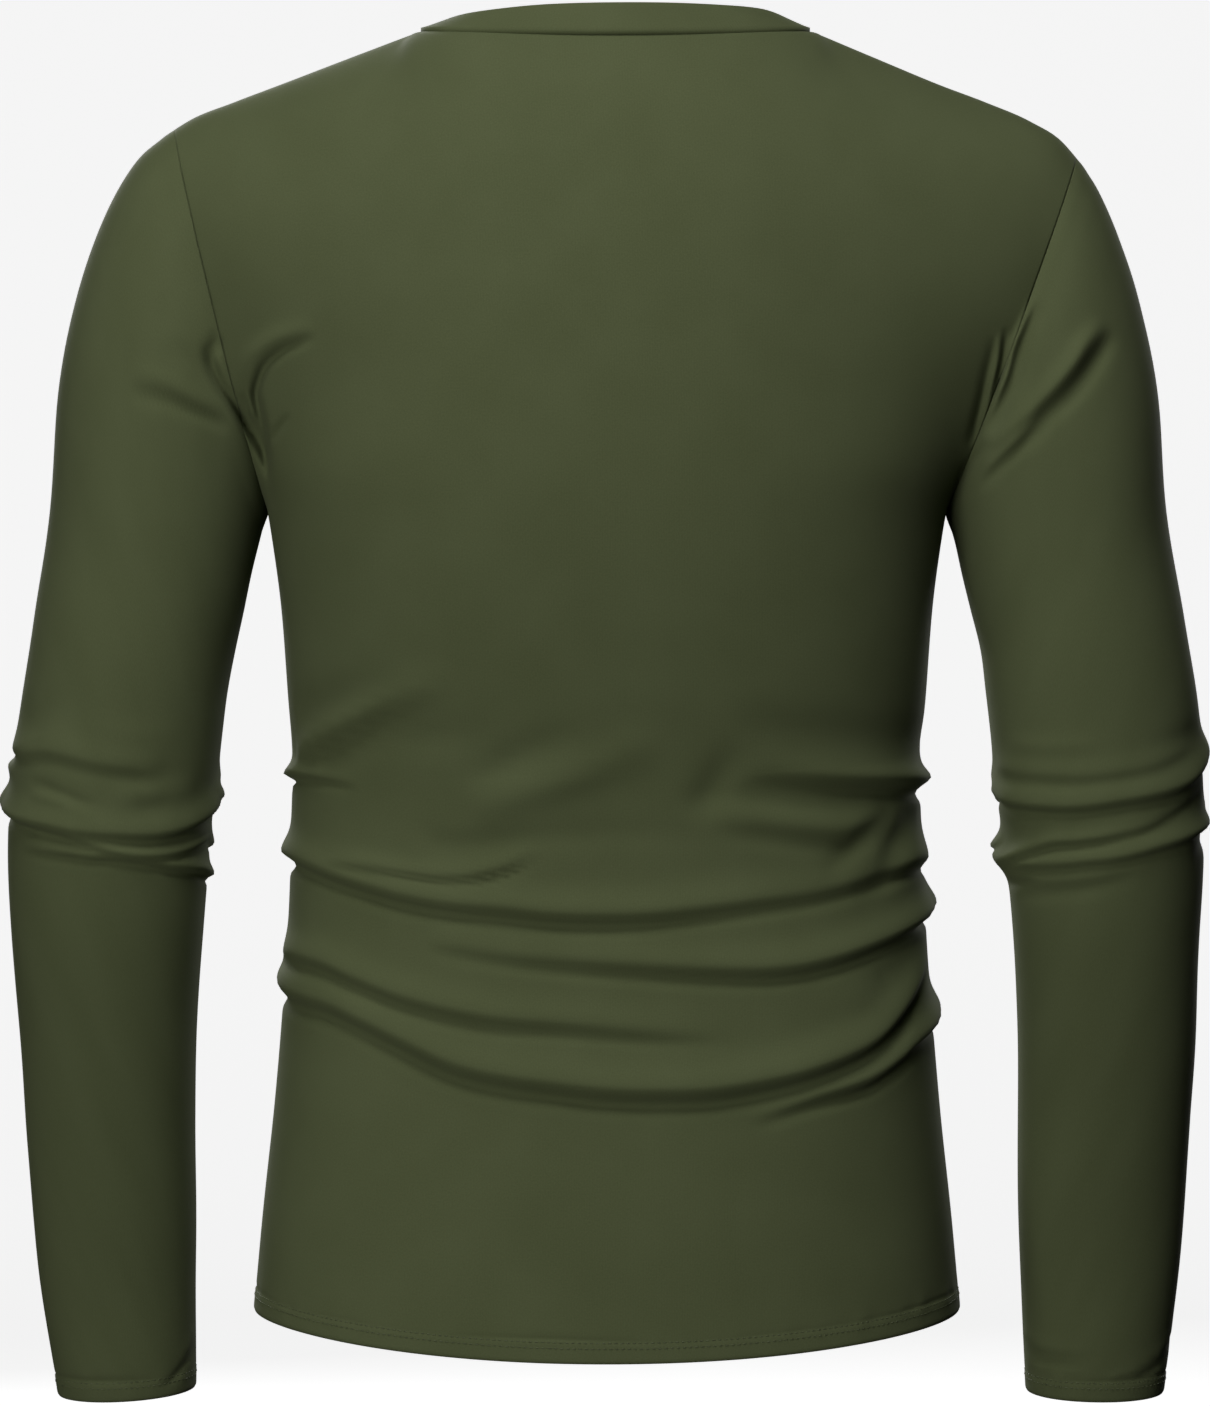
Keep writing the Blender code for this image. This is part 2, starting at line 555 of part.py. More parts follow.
def main():
    for thing in list(bpy.data.objects):
        bpy.data.objects.remove(thing)
    shell("back", *panel(1), closed=False)
    shell("front", *panel(-1), closed=False)
    shell("sleeve_left", *sleeve("left"), closed=True)
    shell("sleeve_right", *sleeve("right"), closed=True)
    shell("neckband", *neckband(), closed=True)


main()
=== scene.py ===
import bmesh
import bpy
import math
import numpy as np
from mathutils import Matrix, Vector, noise


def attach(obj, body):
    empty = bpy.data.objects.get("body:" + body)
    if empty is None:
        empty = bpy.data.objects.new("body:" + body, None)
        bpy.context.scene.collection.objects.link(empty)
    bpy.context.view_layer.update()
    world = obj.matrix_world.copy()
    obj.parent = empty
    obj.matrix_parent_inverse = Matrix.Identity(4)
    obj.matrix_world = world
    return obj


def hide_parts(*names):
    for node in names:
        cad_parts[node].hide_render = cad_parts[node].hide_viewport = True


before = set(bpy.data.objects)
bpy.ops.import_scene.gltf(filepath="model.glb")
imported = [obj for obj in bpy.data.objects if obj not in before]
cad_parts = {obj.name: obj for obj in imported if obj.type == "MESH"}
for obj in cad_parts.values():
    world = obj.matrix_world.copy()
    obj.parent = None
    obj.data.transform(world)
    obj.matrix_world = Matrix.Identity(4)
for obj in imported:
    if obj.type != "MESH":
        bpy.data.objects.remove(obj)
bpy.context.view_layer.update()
print("frame loaded")
mm = 0.001

# The wearer's left is +X, the back +Y and up +Z. Sizes are millimetres, from the neck points down.
cut = {
    "cloth": 1.2,  # thickness of the jersey
    "shoulderY": -5.0,  # the shoulder seams run a little in front of the middle
    "underarm": {"left": (173.0, 244.0), "right": (173.0, 244.0)},  # out, down
    "tip": {"left": (221.0, 48.5), "right": (240.0, 63.0)},  # shoulder end of each armhole
    "armholeDepth": 56.0,
    "bodySquare": 2.3,  # 2 gives an elliptical section
    "sleeveSquare": 2.05,
    "neckShift": -4.3,
    "neckHalfWidth": 98.4,
    "neckRise": 1.4,
    "neckShape": 0.92,
    "neck": {1: {"depth": 65.0, "drop": 8.2, "dropShape": 1.1},
             -1: {"depth": 74.0, "drop": 87.4, "dropShape": 1.1}},
}
signOf = {"left": 1.0, "right": -1.0}


def table(columns, *rows):
    return dict(zip(columns.split(), np.array(rows, float).T))


def smoothCurve(keys, values, at):
    keys, values = np.asarray(keys, float), np.asarray(values, float)
    slopes = np.gradient(values, keys)
    i = np.clip(np.searchsorted(keys, at) - 1, 0, len(keys) - 2)
    span = keys[i + 1] - keys[i]
    t = np.clip((at - keys[i]) / span, 0, 1)
    ends = values[i] * (1 + 2 * t) * (1 - t) ** 2 + values[i + 1] * t**2 * (3 - 2 * t)
    return ends + span * t * (1 - t) * (slopes[i] * (1 - t) - slopes[i + 1] * t)


def ease(low, high, at):  # 0 below low, 1 above high
    t = np.clip((at - low) / (high - low), 0, 1)
    return t * t * (3 - 2 * t)


def unit(v):
    return v / np.linalg.norm(v, axis=-1, keepdims=True)


def rounded(sine, square):
    return (1 - np.abs(sine) ** square).clip(0) ** (1 / square)


def vectors(*parts):
    return np.stack(np.broadcast_arrays(*parts), -1).astype(float)


def whichSide(around):
    return np.where(around < 0, -1, 1)


def alongColumns(points):  # lengths measured on the cloth
    steps = np.linalg.norm(np.diff(points, axis=0), axis=-1)
    return np.concatenate([0 * steps[:1], steps.cumsum(0)])


def alongRows(points):
    return alongColumns(points.swapaxes(0, 1)).T


def fromCentre(points):  # along each row, minus on the wearer's right
    along = alongRows(points)
    return along - along[:, [along.shape[1] // 2]]


# A fold is drawn as a run of its crest, in the cloth's own round and down, with a hollow under it.
foldShape = {
    "low": 0.42,  # width of the lower side, as a share of the upper side's
    "hollowAt": 1.8,  # under the crest, in widths of the lower side
    "hollowWide": 0.8,
    "reach": 4,  # widths from the crest where the fold has died out
    "finer": 4,  # steps between two points of a run
}


def fold(wide, under, *run, low=foldShape["low"]):
    return {"wide": wide, "under": under, "low": low, "run": table("round down rise", *run)}


def crease(wide, *run):  # a soft trough, or a soft swelling where its rise is plus
    return fold(wide, 0, *run, low=1)


def foldHeights(folds, around, down):
    total = np.zeros(around.shape)
    for one in folds:
        run = one["run"]
        steps = np.arange(len(run["round"]))
        fine = np.linspace(0, steps[-1], foldShape["finer"] * steps[-1] + 1)
        line = np.stack([smoothCurve(steps, run["round"], fine),
                         -smoothCurve(steps, run["down"], fine)], -1)
        reach = foldShape["reach"] * one["wide"]
        close = ((around > line[:, 0].min() - reach) & (around < line[:, 0].max() + reach)
                 & (-down > line[:, 1].min() - reach) & (-down < line[:, 1].max() + reach))
        if not close.any():
            continue
        here = np.stack([around[close], -down[close]], -1)[:, None]
        along = np.diff(line, axis=0)
        share = (((here - line[:-1]) * along).sum(-1) / (along**2).sum(-1)).clip(0, 1)
        offset = here - line[:-1] - share[..., None] * along
        gap = np.linalg.norm(offset, axis=-1)
        nearest = gap.argmin(-1)[..., None]
        side = along[:, 1] * offset[..., 0] - along[:, 0] * offset[..., 1]
        above = -np.take_along_axis(gap * np.sign(side), nearest, -1)[..., 0]
        above *= np.sign(line[-1, 0] - line[0, 0])  # runs may be given from either side
        place = np.take_along_axis(share, nearest, -1)[..., 0] + nearest[..., 0]
        height = np.interp(place, np.arange(len(fine)), smoothCurve(steps, run["rise"], fine))
        wide = one["wide"]
        steep = one["low"] * wide
        crest = np.exp(-((above / np.where(above > 0, wide, steep)) ** 2))
        hollow = np.exp(-(((above / steep + foldShape["hollowAt"]) / foldShape["hollowWide"]) ** 2))
        total[close] += height * (crest - one["under"] * hollow)
    return total


def softWaves(points, waves, seed):  # slow swelling of the whole cloth
    apart = Vector((seed, 2.7 * seed, 0.3))  # no two pieces swell alike
    out = np.zeros(points.shape[:-1])
    for index in np.ndindex(out.shape):
        out[index] = noise.noise(Vector(points[index]) / waves["size"] + apart)
    return waves["tall"] * out


# The armholes and the neck seam are curves that two pieces share.
def armholeCurve(side, turn):  # -90 underarm, 0 back, 90 shoulder tip
    sign = signOf[side]
    low = np.array([sign * cut["underarm"][side][0], cut["shoulderY"], -cut["underarm"][side][1]])
    high = np.array([sign * cut["tip"][side][0], cut["shoulderY"], -cut["tip"][side][1]])
    sine, cosine = np.sin(np.radians(turn)), np.cos(np.radians(turn))
    points = low + (high - low) * ((1 + sine)[..., None] / 2)
    behind = np.sign(cosine.round(6))
    points[..., 1] += behind * cut["armholeDepth"] * rounded(sine, cut["sleeveSquare"])
    return points


def neckCurve(ahead, turn):  # 0 at the centre, 90 at a neck point
    sine, cosine = np.sin(np.radians(turn)), np.cos(np.radians(turn)).clip(0)
    own = cut["neck"][ahead]
    return vectors(cut["neckShift"] + cut["neckHalfWidth"] * sine,
                   cut["shoulderY"] + ahead * own["depth"] * cosine ** cut["neckShape"],
                   cut["neckRise"] - own["drop"] * cosine ** own["dropShape"])


body = {
    "rows": table(
        "down half backSag frontSag",
        (244, 173, 0, 0), (290, 166.5, 3, 2), (340, 162.5, 9, 4), (366, 160.5, 13, 6),
        (400, 161, 21, 8), (430, 161.7, 30, 9), (460, 163, 38, 10), (490, 165, 43, 10),
        (545, 169.5, 37, 9), (606, 176, 24, 8), (650, 180, 15, 8)),
    "backCentre": table(
        "down out", (8, 60), (40, 80), (80, 97), (130, 111), (180, 118), (215, 119.5), (244, 119),
        (290, 115), (340, 108), (366, 103), (400, 99), (440, 98), (483, 101), (545, 107), (606, 112),
        (665, 115)),
    "frontCentre": table(
        "down out", (86, 79), (115, 95), (150, 109), (195, 118), (244, 119.5), (290, 117),
        (340, 113), (400, 109), (483, 108), (545, 110), (606, 112), (665, 113)),
    "sagShape": 1.8,  # how flat the middle of a sagging row stays
    "shoulderBulge": {  # over a straight line from the neck to the tip
        "left": table("share rise", (0, 0), (0.5, 0.7), (0.75, 1.5), (0.93, 1.6), (1, 0)),
        "right": table("share rise", (0, 0), (0.19, 1.1), (0.46, 3.1), (0.64, 5.6), (0.82, 6.9),
                       (0.94, 4.7), (1, 0))},
    "slantLean": (1.7, 1.3),  # how steeply the upper rows run up to the armhole
    "slantFrom": (0.0, 0.6),
    "topSpread": 55.0,  # degrees over which a row near the top evens out
    "topFade": (3, 5),  # how fast the top edge's form dies out below it, across and forward
    "seamMiddle": (244.0, 320.0),  # the side seam comes to the middle between these
    "underarmEasing": {  # the level rows run into those of the armholes
        "over": 12.0, "steps": np.linspace(-2.4, 2.4, 25), "near": 30.0, "fromEdge": 25.0},
    "neckAngle": {1: 42.0, -1: 45.0},  # degrees round the panel that the neck seam takes
    "columns": {1: (25, 54, 14), -1: (26, 34, 12)},  # neck, side, last few degrees
    "lastDegrees": 5.0,
    "armholeTurns": np.linspace(90, -90, 121)[:-1],
    "topRows": np.r_[0:3:6j, 4, 5.5, 7.5],  # under the top edge
    "armholeRows": np.r_[0.05:0.52:26j, 0.53:0.9:56j, 0.915:1:9j],  # shares, close at the armpit creases
    "levelRows": np.r_[244:366:26j, 368:532:83j, 535:632:26j, 634:650:17j],
    "foldsFrom": (255, 330),  # the waist folds begin between these
    "armpitFrom": (5, 22),  # and the armpit creases this far behind the middle
    "waves": {"size": 75, "tall": 0.9, "fromEdge": 30, "fromTop": 25, "seed": 3.0},
    "seamDip": (0.1, 1.2),  # depth and width of the groove where two pieces meet
}

hem = {
    "height": 11.0,
    "proud": 0.25,
    "slope": (-1, 2.5),  # the doubled cloth thins out over this
    "groove": 0.4,
    "grooveWide": 1.3,
    "grooveUneven": 0.4,
    "wander": 0.5,
    "slow": ((1, 31, 0.5), (0.7, 17, 0)),  # tall, long, start
    "pucker": 0.22,
    "puckerWide": 4.5,
    "puckers": ((1, 2.6, 1, 12, 0), (0.7, 4.3, 0, 19, 2)),  # the same, then a group's long and start
    "edge": 0.6,
    "edgeWide": 0.8,
    "fromSeam": {"body": 12, "sleeve": 10},
}

backFolds = [
    # waist, upper side of both flanks
    fold(5, 0.7, (246, 379, 0), (222, 378, 3.5), (213, 378, 4.2), (179, 377, 3.2), (149, 379, 1.6),
         (128, 382, 0)),
    fold(5.5, 0.8, (-66, 374, 0), (-97, 376, 1.6), (-126, 378, 2.6), (-162, 379, 3.2), (-213, 380, 4),
         (-245, 381, 0), low=0.8),
    crease(7, (-36, 389, 0), (-66, 388, -1.4), (-97, 390, -2.2), (-145, 391, -2), (-190, 394, 0)),
    fold(7, 0.5, (-51, 397, 0), (-76, 399, 1.6), (-125, 404, 2.2), (-152, 394, 0), low=0.8),
    crease(9, (-128, 440, 0), (-146, 428, -1.8), (-160, 412, -3), (-176, 402, -3), (-200, 398, -1.5),
           (-220, 398, 0)),
    crease(6, (-108, 428, 0), (-119, 420, -1.4), (-138, 405, -2.2), (-161, 396, 0)),
    # long fold under the waist, with a second lip in its left half
    fold(9, 0.75, (246, 415, 0), (226, 416, 3.4), (213, 417, 4.2), (190, 418, 3.6), (164, 422, 3.4),
         (134, 429, 3.4), (104, 436, 3.8), (78, 440, 4.2), (53, 442, 4.4), (23, 445, 4.4), (-16, 445, 4.2),
         (-46, 442, 3.4), (-76, 438, 2.6), (-108, 434, 2), (-144, 426, 2.4), (-180, 420, 2.8),
         (-213, 420, 2.4), (-240, 421, 0)),
    fold(5, 0.8, (150, 420, 0), (134, 421, 1.3), (116, 423, 1.7), (78, 427, 2), (53, 423, 2.2),
         (33, 412, 0)),
    crease(7, (96, 398, 0), (83, 412, -1.2), (58, 411, -1.8), (28, 408, -1.2), (-10, 407, -0.6),
           (-60, 410, 0)),
    # second long fold, strong on the right
    fold(9, 0.7, (92, 458, 0), (78, 460, 1), (53, 464, 1.7), (23, 467, 2.4), (-21, 470, 3.2),
         (-56, 472, 3.8), (-86, 472, 4.3), (-113, 468, 4.6), (-144, 460, 5), (-175, 452, 5), (-213, 444, 5),
         (-228, 442, 3.5), (-248, 440, 0)),
    # third, from the left flank
    fold(9, 0.6, (228, 468, 0), (199, 467, 2.2), (158, 470, 3.4), (133, 477, 3.6), (104, 486, 3.8),
         (78, 492, 3.6), (53, 496, 3.4), (23, 498, 2.8), (-21, 502, 1.8), (-60, 504, 0)),
    # fourth, deepest in the middle and rising on the right
    fold(11, 0.6, (248, 482, 0), (228, 483, 3), (217, 483, 3.8), (190, 486, 3.8), (154, 490, 4),
         (133, 496, 4.2), (104, 507, 4.8), (78, 518, 5.2), (53, 524, 5.4), (23, 528, 5.6), (-6, 531, 5.8),
         (-46, 531, 6), (-71, 528, 6), (-97, 523, 6.2), (-124, 515, 6.2), (-143, 507, 6), (-163, 493, 5),
         (-188, 474, 2.6), (-205, 462, 0)),
    # fifth, only on the right
    fold(9, 0.7, (-70, 545, 0), (-86, 540, 1.4), (-107, 534, 2.6), (-136, 528, 4), (-158, 519, 4.6),
         (-177, 510, 4.8), (-219, 498, 4.8), (-232, 495, 3), (-250, 493, 0)),
    # slanting drags over the waist
    fold(11, 0.5, (186, 369, 0), (167, 364, 2.7), (134, 351, 3.6), (110, 341, 2.7), (76, 332, 0)),
    crease(9, (184, 352, 0), (166, 346, -1.8), (128, 338, -2.1), (96, 332, 0)),
    crease(8, (160, 373, 0), (149, 371, -1.2), (122, 361, -1.7), (94, 358, -1.7), (53, 358, 0)),
    crease(6, (72, 380, 0), (58, 375, -1.7), (43, 368, -2.2), (16, 355, 0)),
    crease(9, (70, 396, 0), (53, 390, 1.8), (23, 380, 2.7), (-11, 365, 1.8), (-26, 356, 0)),
    crease(8, (-40, 398, 0), (-48, 390, -2.1), (-57, 377, -2.7), (-68, 363, 0)),
    crease(10, (-60, 352, 0), (-90, 356, -1.5), (-140, 360, -1.8), (-190, 362, -1.5), (-240, 362, 0)),
    crease(12, (-105, 480, 0), (-131, 488, 1.8), (-150, 480, 0)),
]

frontFolds = [
    fold(9, 0.6, (236, 416, 0), (190, 424, 3), (120, 440, 4), (40, 450, 3), (-50, 454, 0)),
    fold(9, 0.6, (40, 470, 0), (-50, 474, 3), (-120, 462, 4), (-190, 448, 4), (-235, 444, 0)),
    fold(11, 0.6, (232, 480, 0), (170, 494, 4), (90, 512, 5), (0, 520, 5), (-90, 515, 4), (-170, 503, 4),
         (-232, 497, 0)),
    fold(6, 0.7, (236, 380, 0), (190, 382, 2.4), (150, 388, 2), (110, 396, 0)),
    fold(6, 0.7, (-100, 384, 0), (-150, 380, 2.2), (-200, 379, 2.6), (-236, 380, 0)),
    crease(9, (60, 372, 0), (0, 386, -1.4), (-60, 398, -1.4), (-110, 404, 0)),
    crease(10, (150, 350, 0), (90, 364, 1.6), (30, 384, 1.6), (-20, 398, 0)),
    crease(9, (-40, 430, 0), (-100, 424, 1.6), (-160, 412, 1.6), (-200, 404, 0)),
]


# Armpit creases are drawn straight on the back view, out and down, on whichever piece is there.
armpitCreases = [
    # wearer's left
    crease(3, (194, 157, 0), (197, 163, -3.2), (199, 169, -5.4), (197, 176, -6.4), (193, 185, -7),
           (187, 194, -7.4), (182, 201, -7.8), (177, 209, -8), (173, 218, -5), (170, 229, 0)),
    crease(2.2, (199, 178, 0), (194, 188, 2), (189, 197, 2.4), (183, 206, 2.2), (178, 214, 0)),
    crease(2.4, (178, 196, 0), (176, 203, -3), (174, 211, -4.6), (172, 220, -4), (170, 232, -2),
           (168, 246, 0)),
    crease(2, (184, 186, 0), (182, 191, -2.8), (180, 197, -3.8), (177, 203, -4), (174, 210, 0)),
    crease(2.5, (144, 160, 0), (154, 164, -2.2), (162, 167, -3.6), (170, 173, -5.2), (174, 180, -6.4),
           (176, 187, -7.4), (175, 195, -8), (173, 203, -8), (171.5, 212, -6), (170, 224, 0)),
    crease(5, (146, 154, 0), (158, 158, 1.9), (168, 162, 2.6), (177, 169, 2.6), (181, 178, 1.5),
           (182, 186, 0)),
    crease(3.4, (240, 186, 0), (231, 189, -1.3), (219, 191, -1.8), (209, 195, -2.2), (199, 199, -2.4),
           (190, 205, 0)),
    crease(5, (238, 176, 0), (228, 179, 1.4), (219, 182, 1.8), (209, 188, 1.8), (199, 195, 1.2),
           (192, 200, 0)),
    crease(5, (219, 160, 0), (214, 166, -0.9), (207, 172, -1.2), (202, 180, -1.2), (196, 190, 0)),
    crease(2, (158, 198, 0), (162, 202, -1.6), (166, 207, -2.2), (169, 212, 0)),
    # wearer's right
    crease(2.2, (-212, 140, 0), (-211, 146, 1.8), (-207, 155, 3), (-203, 165, 3.4), (-200, 177, 3.4),
           (-196, 187, 3), (-192, 199, 0)),
    crease(3.6, (-216, 140, 0), (-214, 148, -1.8), (-211, 157, -2.5), (-207, 169, -3.2), (-204, 181, -3.4),
           (-199, 191, -3.4), (-195, 201, -3), (-191, 209, 0)),
    crease(2.2, (-197, 157, 0), (-196, 163, 1.8), (-195, 172, 2.5), (-193, 183, 2.5), (-190, 196, 2.1),
           (-187, 204, 0)),
    crease(2, (-200, 154, 0), (-199, 161, -1.7), (-198, 172, -2.1), (-194, 188, -2.4), (-191, 200, 0)),
    crease(3, (-194, 158, 0), (-193, 166, -1.5), (-190, 178, -2.4), (-188, 190, -3.3), (-185, 203, -3.6),
           (-182, 214, 0)),
    crease(5, (-249, 150, 0), (-244, 157, 2.7), (-238, 164, 4.2), (-234, 171, 4.5), (-227, 180, 4.2),
           (-218, 190, 3.6), (-207, 200, 3), (-199, 207, 2.4), (-192, 214, 0)),
    crease(5, (-255, 155, 0), (-250, 162, -2.7), (-244, 171, -4.2), (-238, 179, -4.5), (-230, 188, -4.2),
           (-220, 197, -3.6), (-214, 206, -2.4), (-205, 214, 0)),
    crease(2.8, (-216, 205, 0), (-206, 215, -2.1), (-198, 222, -2.2), (-193, 228, -1.8), (-187, 235, 0)),
    crease(2.8, (-217, 199, 0), (-210, 206, 1.4), (-203, 212, 1.7), (-195, 220, 1.4), (-189, 226, 0)),
    crease(2.6, (-192, 210, 0), (-186, 217, -2.7), (-180, 225, -3.3), (-175, 236, -2.4), (-172, 246, 0)),
]


def armpitPush(points):  # one way for both pieces at a seam, so that it stays shut
    height = foldHeights(armpitCreases, points[..., 0], -points[..., 2])
    return vectors(0, height * ease(*body["armpitFrom"], points[..., 1]), 0)


def columnAngles(ahead):
    neckAngle = body["neckAngle"][ahead]
    inNeck, atSide, atEdge = body["columns"][ahead]
    last = 90 - body["lastDegrees"]
    half = np.r_[np.linspace(0, neckAngle, inNeck + 1), np.linspace(neckAngle, last, atSide + 1)[1:],
                 np.linspace(last, 90, atEdge + 1)[1:]]
    return np.r_[-half[::-1], half[1:]], neckAngle


def topLine(side, ahead, angles, neckAngle):
    sign = signOf[side]
    neck = neckCurve(ahead, sign * np.minimum(angles / neckAngle, 1) * 90)
    tip = np.array([sign * cut["tip"][side][0], cut["shoulderY"], -cut["tip"][side][1]])
    out = ((angles - neckAngle) / (90 - neckAngle)).clip(0, 1)
    bulge = body["shoulderBulge"][side]
    rise = smoothCurve(bulge["share"], bulge["rise"], out)
    return neck + (tip - neck) * out[:, None] + vectors(0, 0, rise)


def evened(values, angles, width):  # a mean over so many degrees, mirrored at the middle and at the edge
    if width < 1:
        return values
    apart = angles[:, None] - angles
    weight = np.gradient(angles)
    near = np.exp(-((apart / width) ** 2)) * weight
    mirrored = np.exp(-(((angles[:, None] + angles) / width) ** 2)) * weight
    beyond = np.exp(-(((180 - angles[:, None] - angles) / width) ** 2)) * weight
    total = (near + mirrored + beyond).sum(1)[:, None]
    return (near @ values + mirrored @ (values * (-1, 1, 1)) - beyond @ values) / total


def halfPanel(side, ahead, angles, neckAngle):
    sign, rows = signOf[side], body["rows"]
    downs, turns = body["levelRows"], body["armholeTurns"]
    middle = body["backCentre" if ahead > 0 else "frontCentre"]
    share = (1 + np.sin(np.radians(turns))) / 2
    topDown = downs[0] + (middle["down"][0] - downs[0]) * share
    topOut = smoothCurve(middle["down"], middle["out"], topDown)
    sag = smoothCurve(rows["down"], rows["backSag" if ahead > 0 else "frontSag"], downs)
    depth = smoothCurve(middle["down"], middle["out"], downs + sag)
    half = smoothCurve(rows["down"], rows["half"], downs)
    topEdge = armholeCurve(side, turns)
    topEdge[:, 1] = cut["shoulderY"] + ahead * (topEdge[:, 1] - cut["shoulderY"])
    seamY = cut["shoulderY"] * (1 - ease(*body["seamMiddle"], downs))
    centre = np.r_[vectors(cut["neckShift"] * share**2, ahead * topOut, -topDown),
                   vectors(0, ahead * depth, -downs - sag)][:, None]
    edge = np.r_[topEdge, vectors(sign * half, seamY, -downs)][:, None]
    sine = np.sin(np.radians(angles))
    rise = 1 - np.cos(np.radians(angles)).clip(0) ** body["sagShape"]
    across, forward = (edge - centre)[..., 0], np.abs(edge - centre)[..., 1]
    kept = 1 - forward / np.abs(centre[..., 1] - cut["shoulderY"])  # low rows are cut off by the armhole
    kept[len(share):] = 0
    reach = (1 - kept.clip(0) ** cut["bodySquare"]) ** (1 / cut["bodySquare"])
    cutOff = (1 - rounded(reach * sine, cut["bodySquare"])) / (1 - kept)
    past = 1 - rounded(sine, cut["bodySquare"])
    low, high = body["slantLean"]
    lean = low + (high - low) * np.r_[share, 0 * downs][:, None]
    slant = sign * (sign * across - forward * lean) * sine + sign * forward * lean * past
    up = np.r_[ease(*body["slantFrom"], share), 0 * downs][:, None]
    points = vectors(
        centre[..., 0] + up * slant + (1 - up) * across * sine,
        centre[..., 1] + (edge - centre)[..., 1] * (up * past + (1 - up) * cutOff),
        centre[..., 2] + (edge - centre)[..., 2] * rise)
    onto = topLine(side, ahead, angles, neckAngle) - points[0]
    fadeAcross, fadeForward = body["topFade"]
    for row, part in enumerate(share):
        weight = np.array([part**fadeAcross, part**fadeForward, np.sin(np.pi / 2 * part) ** 2])
        points[row] += evened(onto, angles, body["topSpread"] * (1 - part)) * weight
    return points


def panelBase(ahead, angles):
    neckAngle = body["neckAngle"][ahead]
    out = angles[angles >= 0]
    right = halfPanel("right", ahead, out, neckAngle)[:, ::-1]
    left = halfPanel("left", ahead, out, neckAngle)
    points = np.concatenate([right[:, :-1], left], 1)
    inwards = np.minimum(fromCentre(points)[:, -1:] - fromCentre(points),
                         fromCentre(points) - fromCentre(points)[:, :1])
    lengths, under = alongColumns(points), len(body["armholeTurns"])
    even = np.r_[body["topRows"] / lengths[under].mean(), body["armholeRows"]]
    easing = body["underarmEasing"]
    rows = []
    for column in range(points.shape[1]):
        at = np.r_[even * lengths[under, column], lengths[under + 1:, column]]
        path = [np.interp(at, lengths[:, column], points[:, column, i]) for i in range(3)]
        soft, total = np.zeros((3, len(at))), 0
        for step in easing["steps"]:
            weight = math.exp(-step**2)
            shifted = at + step * easing["over"]
            soft += weight * np.array([np.interp(shifted, lengths[:, column], points[:, column, i])
                                       for i in range(3)])
            total += weight
        mask = np.exp(-(((at - lengths[under, column]) / easing["near"]) ** 2))
        mask = mask * ease(0, easing["fromEdge"], np.interp(at, lengths[:, column], inwards[:, column]))
        rows.append(np.array(path) * (1 - mask) + soft / total * mask)
    return np.array(rows).transpose(2, 0, 1)


def hemHeights(toHem, around, inPlace):  # the turned-up edge, its stitched groove and its rounded fold
    fine = sum(tall * np.sin(around / long + start) * np.sin(around / group + groupStart)
               for tall, long, start, group, groupStart in hem["puckers"])
    slow = sum(tall * np.sin(around / long + start) for tall, long, start in hem["slow"])
    height = hem["height"] + hem["wander"] * slow * inPlace
    above = toHem - height
    doubled = hem["proud"] * (1 - ease(*hem["slope"], above))
    groove = hem["groove"] * np.exp(-((above / hem["grooveWide"]) ** 2))
    groove *= 1 + hem["grooveUneven"] * slow * inPlace
    pucker = hem["pucker"] * fine * inPlace * np.exp(-((above / hem["puckerWide"]) ** 2))
    return doubled - groove + pucker - hem["edge"] * np.exp(-(toHem / hem["edgeWide"]) ** 2)


def panelSurface(ahead):
    angles, neckAngle = columnAngles(ahead)
    base = panelBase(ahead, angles)
    other = panelBase(-ahead, columnAngles(-ahead)[0])
    own, opposite = fromCentre(base), fromCentre(other)
    quarter = np.where(own > 0, own[:, -1:], -own[:, :1])
    reach = np.where(own > 0, opposite[:, -1:], -opposite[:, :1])
    past = whichSide(own) * (quarter + reach - np.abs(own))
    fromBack, fromFront = (own, past) if ahead > 0 else (past, own)
    down = -base[..., 2]
    topRows = len(base) - len(body["levelRows"])
    heights = foldHeights(backFolds, fromBack, down) + foldHeights(frontFolds, fromFront, down)
    heights *= ease(*body["foldsFrom"], down)
    toEdge, fromTop, waves = quarter - np.abs(own), alongColumns(base), body["waves"]
    inPlace = ease(0, waves["fromEdge"], toEdge) * ease(0, waves["fromTop"], fromTop)
    heights += softWaves(base, waves, waves["seed"] + ahead) * inPlace
    deep, wide = body["seamDip"]
    heights -= deep * np.exp(-((np.minimum(toEdge, fromTop) / wide) ** 2))
    heights += hemHeights(fromTop[-1:] - fromTop, own, ease(0, hem["fromSeam"]["body"], toEdge))
    normals = unit(np.cross(np.gradient(base, axis=1), np.gradient(base, axis=0))) * ahead
    normals[topRows:, 0] = (-1, 0, 0)
    normals[topRows:, -1] = (1, 0, 0)
    cloth = np.stack([own, -down], -1)
    return base + normals * heights[..., None] + armpitPush(base), cloth


